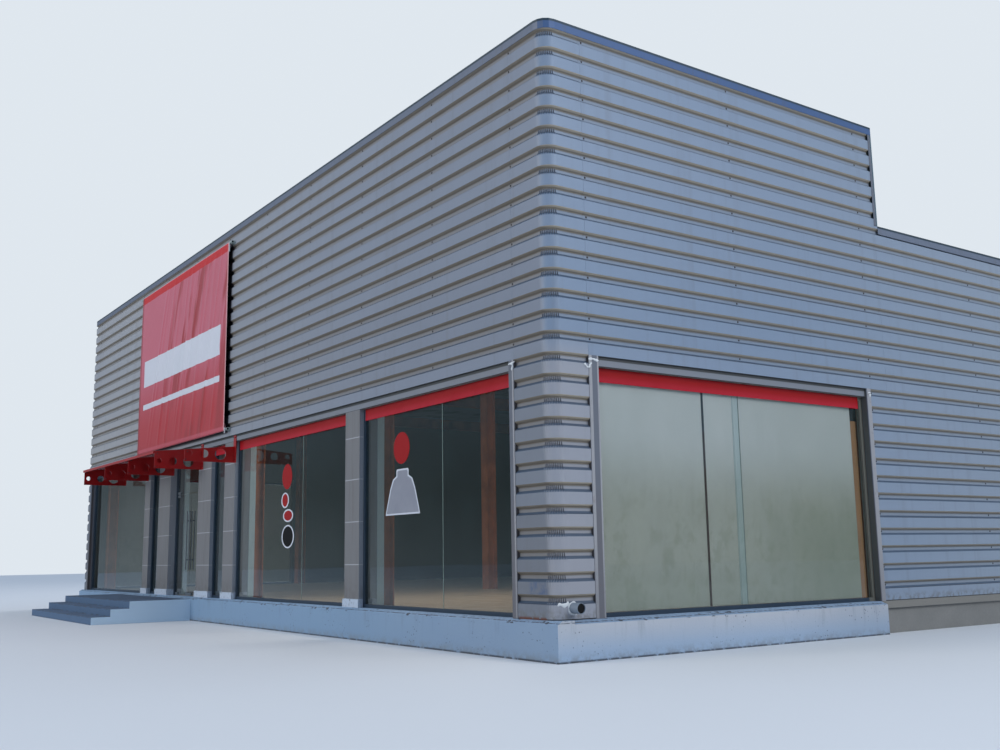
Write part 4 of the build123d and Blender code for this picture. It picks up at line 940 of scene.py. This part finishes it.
def screwPlaces():
    p = screwPlan
    depth, tall = rib["depth"], building["tallEnd"]
    over, high, low = p["overHead"], p["highLast"], p["lowLast"]
    front = [(x, building["frontFace"] + depth, z) for x in p["frontColumns"] for z in valleys(over, high)]
    sides = [(y, z) for y in p["sideColumns"] for z in
             valleys(over if y < p["windowEnd"] else 0, high if y < tall else low)]
    right = [(building["rightFace"] - depth, y, z) for y, z in sides]
    left = [(building["leftFace"] + depth, y, z) for y, z in sides]
    rear = [(x, building["rearFace"] - depth, z) for x in p["rearColumns"] for z in valleys(0, low)]
    rear += [(x, tall - depth, z) for x in p["rearColumns"] for z in valleys(low + 2, high)]
    return (front, (0, -1, 0)), (right, (1, 0, 0)), (left, (-1, 0, 0)), (rear, (0, 1, 0))


screwShape = turned(screwPlan["outline"], screwPlan["sides"])
screws = joined(*[placed(screwShape, places, normal) for places, normal in screwPlaces()])
makePiece("cladding_screws", screws, screwMetal)
print("screws:", len(screws[0]) // len(screwShape[0]))

# where the sheets overlap, the upper one ends in a small lip at the top of a crown
lapLip = {"first": 0.620, "pitch": 1.0, "count": 8, "height": 0.005, "thickness": 0.0032, "round": 0.0007,
          "windowEnd": 5.84, "endGap": 0.03, "rear": (-9.9, 9.9), "stations": 13}


def lapLips():
    p = lapLip
    high, low = building["highTop"] - building["copingFace"], building["lowTop"] - building["copingFace"]
    front, rear, head = building["frontFace"], building["rearFace"], building["headLine"]
    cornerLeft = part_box("corner_sheet_left")[1].x
    heights = p["first"] + p["pitch"] * np.arange(p["count"])
    heights = heights[heights < high]
    rows = []
    for z in heights:
        if z > head:
            rows.append(((cornerLeft, front, z), (cornerLow.x, front, z), (0, -1, 0)))
        for side, x in ((1, building["rightFace"]), (-1, building["leftFace"])):
            start = cornerHigh.y if z > head else p["windowEnd"]
            end = building["tallEnd"] if z > low else rear
            rows.append(((x, start, z), (x, end - p["endGap"], z), (side, 0, 0)))
        if z < low:
            rows.append(((p["rear"][0], rear, z), (p["rear"][1], rear, z), (0, 1, 0)))
    shapes = [bars(rows, p["height"], p["thickness"], p["round"])]
    for node, side in (("corner_sheet_right", 1), ("corner_sheet_left", -1)):
        flat, outward = bendPath(node, side, np.linspace(0, 1, p["stations"]))
        away = np.column_stack([outward, np.zeros(len(flat))])
        for z in heights:
            path = np.column_stack([flat, np.full(len(flat), z)])
            shapes.append(carry(roundedBar(p["height"], p["thickness"], p["round"]), path, (0, 0, 1), away))
    return joined(*shapes)


makePiece("sheet_laps", lapLips(), cladding)
print("laps made")

# stretched banner: one sheet over both tubes, with slanting folds on its right half
bannerPlan = {
    "left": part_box("banner")[0].x, "right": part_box("banner")[1].x,
    "tubeY": -0.119, "topZ": 7.268, "footZ": 3.605, "wrap": 0.0262, "sewnGap": 0.003, "flap": 0.13,
    "thickness": 0.0010, "columns": 190, "rows": 96, "turn": 9,
    "folds": 15, "foldStart": 0.34, "foldEnd": 1.03, "slant": 0.20, "foldHeight": 0.022,
    "sag": 0.004, "sagAcross": 9, "sagDown": 4, "heldTop": 0.07, "heldFoot": 0.05, "heldRight": 0.02,
    # least and most of each fold: shift, share of the slant, width, middle, reach and share of the height
    "shift": (-0.018, 0.018), "slants": (0.5, 1.2), "width": (0.006, 0.013), "middle": (0.25, 0.75),
    "reach": (0.35, 0.7), "heights": (0.4, 1.0), "seed": 7,
}


def bannerPath():
    # sewn edge behind the top tube, half round it, down the front, half round the foot tube and back up
    b = bannerPlan
    turn = np.linspace(0, math.pi, b["turn"])
    sewn = b["tubeY"] - b["wrap"] + b["sewnGap"]
    top = np.stack([b["tubeY"] + b["wrap"] * np.cos(turn), b["topZ"] + b["wrap"] * np.sin(turn)], -1)
    foot = np.stack([b["tubeY"] - b["wrap"] * np.cos(turn), b["footZ"] - b["wrap"] * np.sin(turn)], -1)
    front = np.linspace(top[-1], foot[0], b["rows"])[1:-1]
    start, end = (sewn, b["topZ"] - b["flap"]), (sewn, b["footZ"] + b["flap"])
    return np.concatenate([[start], top, front, foot, [end]])


def makeBanner():
    # point(u, v) = path(v) moved outwards by the sum of narrow bell-shaped folds that slant with height
    b = bannerPlan
    path = bannerPath()
    length = np.concatenate([[0], np.cumsum(np.linalg.norm(np.diff(path, axis=0), axis=1))])
    across = np.linspace(0, 1, b["columns"])
    random = np.random.default_rng(b["seed"])
    down = np.clip((b["topZ"] - path[:, 1]) / (b["topZ"] - b["footZ"]), 0, 1)
    order = np.arange(len(path))
    isFront = (path[:, 0] < b["tubeY"]) & (order > b["turn"]) & (order < len(path) - b["turn"])
    held = np.clip(down / b["heldTop"], 0, 1) * np.clip((1 - down) / b["heldFoot"], 0, 1)
    folds = np.zeros((len(path), b["columns"]))
    for at in np.linspace(b["foldStart"], b["foldEnd"], b["folds"]):
        # each fold starts and dies out at a height of its own
        centre = at + random.uniform(*b["shift"]) - down * b["slant"] * random.uniform(*b["slants"])
        width, middle, reach = (random.uniform(*b[key]) for key in ("width", "middle", "reach"))
        height = b["foldHeight"] * random.uniform(*b["heights"]) * np.exp(-((down - middle) / reach) ** 2)
        folds += height[:, None] * np.exp(-((across[None] - centre[:, None]) / width) ** 2)
    folds += b["sag"] * np.sin(across[None] * b["sagAcross"] + down[:, None] * b["sagDown"])
    folds *= np.where(isFront, held, 0)[:, None] * np.clip((1 - across) / b["heldRight"], 0, 1)[None]
    x = b["left"] + across * (b["right"] - b["left"])
    points = np.stack([np.broadcast_to(x, folds.shape), path[:, :1] - folds,
                       np.broadcast_to(path[:, 1:], folds.shape)], -1)
    uv = np.stack([np.broadcast_to(across, folds.shape),
                   np.broadcast_to(length[:, None] / length[-1], folds.shape)], -1).reshape(-1, 2)
    faces = gridFaces(*points.shape[:2])[:, ::-1]
    piece = makePiece("banner_sheet", (points.reshape(-1, 3), faces), bannerCloth,
                      smooth=True, merge=False, uv=("cloth", uv))
    thicken(piece, b["thickness"], 0.0)
    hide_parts("banner")
    print("banner made, flat length", round(float(length[-1]), 3))


makeBanner()

# hollow tube ends, and the painted angles that hold the banner's right edge
tubeEnd = {"heights": (7.269, 3.605), "y": -0.119, "right": 0.19, "left": -5.57, "sides": 20,
           "collar": [(0.0235, -0.03), (0.0252, -0.03), (0.0252, 0.0006), (0.020, 0.0006), (0.020, -0.0010)],
           "hollow": [(0, 0.0003), (0.021, 0.0003), (0.021, -0.001), (0, -0.001)]}
bannerAngle = {"x": (0.078, 0.120), "y": (-0.150, -0.146), "spans": ((7.09, 7.262), (3.53, 3.64)),
               "sheet": 0.004, "leg": 0.022, "overlap": 0.001, "round": 0.0015}


def onTubeEnds(profile):
    # one turned shape on each of the four ends
    t = tubeEnd
    shape = turned(profile, t["sides"])
    right, left = ([(t[end], t["y"], z) for z in t["heights"]] for end in ("right", "left"))
    return joined(placed(shape, right, (1, 0, 0)), placed(shape, left, (-1, 0, 0)))


def bannerAngles():
    # a face in front of the tube, and a leg behind its left edge
    a = bannerAngle
    (x0, x1), (y0, y1) = a["x"], a["y"]
    shapes = []
    for low, high in a["spans"]:
        shapes.append(slab((x0, y0, low), (x1, y1, high), a["round"]))
        legStart, legEnd = (x0, y1 - a["overlap"], low), (x0 + a["sheet"], y1 + a["leg"], high)
        shapes.append(slab(legStart, legEnd, a["round"]))
    return joined(*shapes)


makePiece("tube_collars", onTubeEnds(tubeEnd["collar"]), galvanised)
makePiece("tube_hollows", onTubeEnds(tubeEnd["hollow"]), blackRubberAndShade)
makePiece("banner_angles", bannerAngles(), chalk)
print("tube ends made")

# plain red strips along the tops of the glazing
stripPlan = {"front": ((5.42, 9.20), (0.44, 4.85), (-0.80, -0.19)), "side": (0.715, 5.645), "top": 3.352,
             "foot": 3.180, "thickness": 0.004, "gap": 0.0003, "round": 0.0015, "frameFront": 0.040,
             "frameSide": 9.960}


def redStrips():
    s = stripPlan
    z = (s["top"] + s["foot"]) / 2
    y = s["frameFront"] - s["thickness"] / 2 - s["gap"]
    x = s["frameSide"] + s["thickness"] / 2 + s["gap"]
    rows = [((a, y, z), (b, y, z), (0, -1, 0)) for a, b in s["front"]]
    rows.append(((x, s["side"][0], z), (x, s["side"][1], z), (1, 0, 0)))
    return bars(rows, s["top"] - s["foot"], s["thickness"], s["round"])


makePiece("window_strips", redStrips(), stripRed)

# etched film inside the side windows; on the right a slat, a post, an overlap, a seam and a small fixing too
filmPlan = {"inner": 9.924, "behind": 0.0065, "start": 0.710, "end": 5.495, "leftEnd": 5.676, "foot": 0.505,
            "top": 3.298, "thickness": 0.0012, "round": 0.0003,
            "layer": (0.0055, 0.0004), "layerRound": 0.001,
            "slat": (2.478, 2.514), "overlap": (3.038, 3.150), "seam": (3.150, 3.166),
            "post": ((9.890, 5.497, 0.505), (9.918, 5.618, 3.00)),
            "fixing": ((9.885, 5.497, 3.00), (9.920, 5.640, 3.20))}


def windowFilm(side, end):
    p = filmPlan
    x, z = p["inner"] - p["behind"], (p["top"] + p["foot"]) / 2
    rows = [((x, p["start"], z), (x, end, z), (1, 0, 0))]
    points, faces = bars(rows, p["top"] - p["foot"], p["thickness"], p["round"])
    return points * [side, 1, 1], faces


def onFilm(name):
    # an upright strip of the film's height, between the film and the glass
    p = filmPlan
    far, near = (p["inner"] - step for step in p["layer"])
    return slab((far, p[name][0], p["foot"]), (near, p[name][1], p["top"]), p["layerRound"])


makePiece("side_window_film", windowFilm(1, filmPlan["end"]), frostedFilm)
makePiece("side_window_film_left", windowFilm(-1, filmPlan["leftEnd"]), frostedFilm)
makePiece("side_window_slat", onFilm("slat"), slatPaint)
makePiece("side_window_post", slab(*filmPlan["post"]), tanPost)
makePiece("side_window_overlap", onFilm("overlap"), overlapFilm)
makePiece("side_window_seam", onFilm("seam"), jointGreen)
makePiece("side_window_fixing", slab(*filmPlan["fixing"]), blackRubberAndShade)

# butt joints between panes, the joints between the pier panels, and blue-grey boards behind the piers
jointPlan = {"frontPanes": (7.538, 3.188), "sidePanes": (2.485, 3.045), "foot": 0.50, "top": 3.30,
             "frontGlass": 0.064, "leftGlass": -9.936, "paneJoint": (0.012, 0.003, 0.0012),
             "piers": ((4.90, 5.36), (-0.14, 0.38), (-1.57, -0.85), (-4.07, -3.31), (-5.09, -4.70)),
             "levels": (1.067, 1.692, 2.318, 2.945), "pierY": (-0.030, 0.036), "inset": (0.004, 0.002),
             "panelJoint": (0.012, 0.0024, 0.0008), "boardY": (0.274, 0.390), "boardTop": 3.35,
             "boardLift": 0.002}


def paneJoints():
    j = jointPlan
    front, left = j["frontGlass"], j["leftGlass"]
    rows = [((x, front, j["foot"]), (x, front, j["top"]), (0, -1, 0)) for x in j["frontPanes"]]
    rows += [((left, y, j["foot"]), (left, y, j["top"]), (-1, 0, 0)) for y in j["sidePanes"]]
    return bars(rows, *j["paneJoint"])


def pierJoints():
    # along the front of each pier, then back along its right flank
    j = jointPlan
    (front, back), (near, far) = j["pierY"], j["inset"]
    levels = [(a, b, z) for a, b in j["piers"] for z in j["levels"]]
    rows = [((a + near, front, z), (b - far, front, z), (0, -1, 0)) for a, b, z in levels]
    rows += [((b, front + near, z), (b, back, z), (1, 0, 0)) for a, b, z in levels]
    return bars(rows, *j["panelJoint"])


def pierBoards():
    j = jointPlan
    foot, (y0, y1) = building["wallFoot"] + j["boardLift"], j["boardY"]
    return joined(*[slab((a, y0, foot), (b, y1, j["boardTop"])) for a, b in j["piers"]])


makePiece("pane_joints", paneJoints(), jointGreen)
makePiece("pier_joints", pierJoints(), chalk)
makePiece("pier_boards", pierBoards(), liningBlue)
print("window strips, film and joints made")

# plain stickers on two of the windows: discs, a bell, and rings that are ovals with smaller ovals on them
stickerPlan = {"glass": 0.0638, "layer": 0.0006, "thickness": 0.00048, "rim": (0.040, 0.024), "points": 20,
               "tipAngle": 1.5,
               "discs": ((6.45, 2.685, 0.225, 0.225), (2.55, 2.545, 0.20, 0.215)),
               "rings": ((2.48, 2.147, 0.155, 0.132), (2.61, 1.885, 0.205, 0.108),
                         (2.61, 1.535, 0.250, 0.195)),
               "bell": (6.475, 1.75), "bellMiddle": 0.32, "bellWidth": 0.4, "bellInner": 0.93,
               "bellOutline": ((0.475, 0.0), (0.470, 0.03), (0.35, 0.36), (0.27, 0.50), (0.17, 0.545),
                               (0.17, 0.62), (0.155, 0.64))}


def platter(halfWidths, heights, x, z, layer):
    # a thin flat shape, symmetrical about an upright line: left edge upwards, then right edge downwards
    s = stickerPlan
    left, right = (np.stack([half, heights], -1) for half in (-halfWidths, halfWidths))
    y = s["glass"] - layer * s["layer"]
    path = [(x, y, z), (x, y - s["thickness"], z)]
    return carry(np.concatenate([left, right[::-1]]), path, (1, 0, 0), (0, 0, 1))


def oval(x, z, wide, high, layer=1):
    # an ellipse as half widths: wide * sqrt(1 - (h / high)^2)
    tip = stickerPlan["tipAngle"]
    h = high * np.sin(np.linspace(-tip, tip, stickerPlan["points"]))
    return platter(wide * np.sqrt(1 - (h / high) ** 2), h, x, z, layer)


def bellShape(scale, layer):
    # the outline drawn in towards the middle by (1 - scale)
    s = stickerPlan
    halfWidths, heights = np.array(s["bellOutline"]).T
    middle = s["bellMiddle"]
    return platter(halfWidths - (1 - scale) * s["bellWidth"], middle + (heights - middle) * scale, *s["bell"],
                   layer)


rings = stickerPlan["rings"]
rimWide, rimHigh = stickerPlan["rim"]
inner = [oval(x, z, wide - rimWide, high - rimHigh, 2) for x, z, wide, high in rings]
whites = [oval(*row) for row in rings] + [bellShape(1.0, 1)]
reds = [oval(*row) for row in stickerPlan["discs"]] + inner[:2]
makePiece("stickers_white", joined(*whites), stickerWhite)
makePiece("stickers_red", joined(*reds), stripRed)
makePiece("sticker_dark", inner[2], blackRubberAndShade)
makePiece("stickers_grey", bellShape(stickerPlan["bellInner"], 2), stickerGrey)
print("stickers made")

# sealant: smears at the heads of the window trims, and a bead with a smear round the drain pipe
pipeLow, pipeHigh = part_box("drain_pipe")
pipeY, pipeZ = (pipeLow.y + pipeHigh.y) / 2, (pipeLow.z + pipeHigh.z) / 2
edgeX = building["rightFace"]
# each smear: start, end, which way it faces, width and thickness; its place in the list is its seed
smears = [
    ((9.245, -0.068, 3.428), (9.385, -0.068, 3.448), (0, -1, 0), 0.022, 0.012),
    ((9.330, -0.068, 3.440), (9.326, -0.068, 3.345), (0, -1, 0), 0.026, 0.012),
    ((edgeX + 0.007, 0.500, 3.428), (edgeX + 0.007, 0.660, 3.420), (1, 0, 0), 0.028, 0.012),
    ((edgeX + 0.003, 0.435, 3.366), (edgeX + 0.006, 0.500, 3.320), (1, 0, 0), 0.024, 0.012),
    ((edgeX + 0.006, 0.500, 3.320), (edgeX + 0.007, 0.550, 3.385), (1, 0, 0), 0.024, 0.012),
    ((edgeX + 0.006, 5.790, 3.380), (edgeX + 0.006, 5.830, 3.376), (1, 0, 0), 0.040, 0.012),
    ((edgeX + 0.006, 5.760, 3.412), (edgeX + 0.006, 5.832, 3.420), (1, 0, 0), 0.016, 0.010),
]
smearShape = {"stations": 14, "sides": 10, "wobble": 0.28, "waves": (9, 23, 7), "second": 0.6, "taper": 8,
              "least": 0.04}
pipeSeal = {"radius": 0.060, "fat": 0.010, "foot": 0.006, "uneven": 0.003, "waves": 5, "sunk": 0.4,
            "proud": 0.8, "stations": 41, "sides": 8, "mouth": 0.0545, "mouthDepth": 0.016, "disc": 0.002,
            "mouthSides": 28}
bendSeal = {"span": (0.52, 1.0), "stations": 16, "height": 0.612, "width": 0.045, "thickness": 0.012,
            "sway": 0.010, "sways": 8, "climb": 0.012, "small": 0.55, "growth": 0.75, "uneven": 0.2,
            "waves": 14, "endAt": 1.02, "taper": 9, "least": 0.05}


def smear(start, end, away, width, thickness, seed):
    # an oval carried from start to end, its size and place shifted by sums of sines
    s = smearShape
    wobble, (slow, quick, sideWave) = s["wobble"], s["waves"]
    t = np.linspace(0, 1, s["stations"])[:, None]
    start, end, away = (np.asarray(v, float) for v in (start, end, away))
    along = (end - start) / np.linalg.norm(end - start)
    side = np.cross(away, along)
    phase = np.random.default_rng(seed).uniform(0, 6.28, 3)
    size = 1 + wobble * (np.sin(t * slow + phase[0]) + s["second"] * np.sin(t * quick + phase[1]))
    size = size * np.sqrt(np.clip(np.minimum(t, 1 - t) * s["taper"], s["least"], 1))
    shift = width * wobble * s["second"] * np.sin(t * sideWave + phase[2])
    outline = ring(0.5, s["sides"])[None] * [width, thickness] * size[..., None]
    return carry(outline, start + (end - start) * t + side * shift, side, away)


def pipeBead():
    # an oval carried round the pipe, thicker at its foot: centre + (r + a) * (cos t, sin t) + b outward
    p = pipeSeal
    turn = np.linspace(0, 2 * math.pi, p["stations"])
    fat = p["fat"] + p["foot"] * np.clip(-np.sin(turn), 0, 1) + p["uneven"] * np.sin(turn * p["waves"] + 1)
    radius = p["radius"] + fat * p["sunk"]
    section = ring(1.0, p["sides"])
    away = np.stack([np.zeros_like(turn), np.cos(turn), np.sin(turn)], -1)
    reach = radius[:, None] + fat[:, None] * section[:, 0]
    points = np.array([edgeX, pipeY, pipeZ]) + away[:, None] * reach[..., None]
    points[..., 0] += fat[:, None] * section[:, 1] * p["proud"]
    return points.reshape(-1, 3), gridFaces(len(turn), p["sides"], True)


def bendSmear():
    # a smear round the bend, over the top edge of the lowest crown: its size is a sum of sines
    s = bendSeal
    flat, outward = bendPath("corner_sheet_right", 1, np.linspace(*s["span"], s["stations"]))
    flat, outward = flat[1:-1], outward[1:-1]
    t = np.linspace(0, 1, len(flat))
    path = np.column_stack([flat, s["height"] + s["sway"] * np.sin(t * s["sways"]) + s["climb"] * t])
    away = np.column_stack([outward, np.zeros(len(flat))])
    size = s["small"] + s["growth"] * t + s["uneven"] * np.sin(t * s["waves"])
    size = size * np.sqrt(np.clip(np.minimum(t, s["endAt"] - t) * s["taper"], s["least"], 1))
    outline = ring(0.5, smearShape["sides"])[None] * [s["width"], s["thickness"]] * size[:, None, None]
    return carry(outline, path, (0, 0, 1), away)


def pipeMouth():
    # painted shade: a dark disc inside the pipe, just behind its open end
    p = pipeSeal
    disc = turned([(0, p["disc"]), (p["mouth"], p["disc"]), (p["mouth"], 0), (0, 0)], p["mouthSides"])
    return placed(disc, [(pipeHigh.x - p["mouthDepth"], pipeY, pipeZ)], (1, 0, 0))


beads = [smear(*row, seed) for seed, row in enumerate(smears, 1)]
makePiece("sealant_smears", joined(*beads, pipeBead(), bendSmear()), sealant, smooth=True)
makePiece("pipe_shadow", pipeMouth(), blackRubberAndShade)
print("sealant made")

# bolts on the canopy plates: four on each wall plate, and two at each tip, where the first bracket is lower
boltPlan = {"brackets": (0.37, -1.39, -3.15, -4.91, -6.67), "half": 0.006, "tipY": (-0.935, -0.965),
            "tipZ": (3.242, 2.985), "firstTipZ": (3.125, 2.985), "plateX": (-0.038, 0.038),
            "plateZ": (3.01, 3.42), "plateY": -0.042, "sides": 6,
            "outline": [(0, 0), (0.013, 0), (0.013, 0.0015), (0.009, 0.0022), (0.009, 0.008), (0, 0.0085)]}


def canopyBolts():
    b = boltPlan
    head = turned(b["outline"], b["sides"])
    onTips, onWall = [], []
    for i, x in enumerate(b["brackets"]):
        heights = b["firstTipZ"] if i == 0 else b["tipZ"]
        onTips += [(x + b["half"], y, z) for y, z in zip(b["tipY"], heights)]
        onWall += [(x + dx, b["plateY"], z) for dx in b["plateX"] for z in b["plateZ"]]
    return joined(placed(head, onTips, (1, 0, 0)), placed(head, onWall, (0, -1, 0)))


makePiece("canopy_bolts", canopyBolts(), screwMetal)

# a cover strip over the joint of the front coping
coverStrip = {"half": 0.035, "proud": (0.0056, 0.0044), "down": (0.124, 0.001), "round": 0.0005}


def copingCover():
    c = coverStrip
    (outer, inside), (foot, top) = c["proud"], c["down"]
    front, high = building["frontFace"], building["highTop"]
    return slab((-c["half"], front - outer, high - foot), (c["half"], front - inside, high - top), c["round"])


makePiece("coping_joint", copingCover(), flashing)
print("bolts and coping joint made")

# floor, light and camera: the dome's light at four heights, and what the camera sees behind the building
studio = {
    "floorHalf": 90.0, "floorDown": -0.001, "floor": ((206, 209, 213), (196, 199, 204)),
    "stops": ((0.0, (0.30, 0.34, 0.38, 1)), (0.06, (0.18, 0.21, 0.23, 1)), (0.15, (0.24, 0.29, 0.35, 1)),
              (0.55, (0.62, 0.74, 0.92, 1))),
    "backdrop": (0.74, 0.80, 0.86, 1),
}
# each lamp: place, target, size, power and colour
lamps = {
    "side": ((34.0, 8.0, 16.0), (9.0, 5.0, 2.0), 16.0, 3600.0, (1.0, 0.98, 0.95)),
    "front": ((-4.0, -36.0, 16.0), (0.0, 0.0, 3.0), 18.0, 6200.0, (1.0, 0.94, 0.84)),
    "inside": ((4.5, 2.4, 5.3), (4.5, 2.2, 0.0), 3.0, 170.0, (1.0, 0.94, 0.86)),
    "rear": ((-20.0, 28.0, 20.0), (0.0, 8.0, 3.0), 16.0, 3600.0, (1.0, 0.98, 0.96)),
}
view = {"place": (19.4965, -7.4134, 1.1768), "yaw": 54.82477, "pitch": 9.58405, "roll": -0.91056,
        "lens": 38.321, "sensor": 36.0, "near": 0.05, "far": 500.0}


def makeFloor():
    f = Finish("pale floor", Roughness=0.8)
    f.feed(Base_Color=f.mix(f.noise(0.3, 3.0) * 0.3, *studio["floor"]))
    half = studio["floorHalf"]
    corners = [(x * half, y * half, studio["floorDown"]) for x, y in ((-1, -1), (1, -1), (1, 1), (-1, 1))]
    mesh = bpy.data.meshes.new("studio_floor")
    mesh.from_pydata(corners, [], [(0, 1, 2, 3)])
    mesh.materials.append(f.material)
    floor = bpy.data.objects.new("studio_floor", mesh)
    bpy.context.scene.collection.objects.link(floor)


def makeWorld():
    world = bpy.data.worlds.new("studio")
    bpy.context.scene.world = world
    g = Graph(world)
    height = g.split(g.node("ShaderNodeTexCoord", output="Generated"))[2]
    dome = g.node("ShaderNodeValToRGB", {"stops": studio["stops"]}, {0: height})
    seen = g.node("ShaderNodeLightPath", output="Is Camera Ray")
    both = g.node("ShaderNodeMix", {"data_type": "RGBA"}, {0: seen, 6: dome, 7: studio["backdrop"]}, 2)
    g.tree.links.new(both.socket, g.tree.nodes["Background"].inputs[0])


def makeLight(name, place, target, size, power, colour):
    lamp = bpy.data.lights.new(name, "AREA")
    lamp.shape, lamp.size, lamp.energy, lamp.color = "DISK", size, power, colour
    holder = bpy.data.objects.new(name, lamp)
    holder.location = place
    holder.rotation_euler = (Vector(place) - Vector(target)).to_track_quat("Z", "Y").to_euler()
    bpy.context.scene.collection.objects.link(holder)


def makeCamera():
    # looks along the yaw and pitch, then leans by the roll
    yaw, pitch, roll = (math.radians(view[k]) for k in ("yaw", "pitch", "roll"))
    ahead = np.array([-math.sin(yaw) * math.cos(pitch), math.cos(yaw) * math.cos(pitch), math.sin(pitch)])
    right = np.array([math.cos(yaw), math.sin(yaw), 0.0])
    up = np.cross(right, ahead)
    lens = bpy.data.cameras.new("camera")
    lens.lens, lens.sensor_width, lens.sensor_fit = view["lens"], view["sensor"], "HORIZONTAL"
    lens.clip_start, lens.clip_end = view["near"], view["far"]
    camera = bpy.data.objects.new("camera", lens)
    turn = np.eye(4)
    turn[:3, 0] = math.cos(roll) * right + math.sin(roll) * up
    turn[:3, 1] = -math.sin(roll) * right + math.cos(roll) * up
    turn[:3, 2], turn[:3, 3] = -ahead, view["place"]
    camera.matrix_world = Matrix(turn.tolist())
    bpy.context.scene.collection.objects.link(camera)
    bpy.context.scene.camera = camera


makeFloor()
makeWorld()
for name, lamp in lamps.items():
    makeLight(name, *lamp)
makeCamera()
bpy.context.scene.view_settings.view_transform = "Standard"
print("stage, lights and camera made")
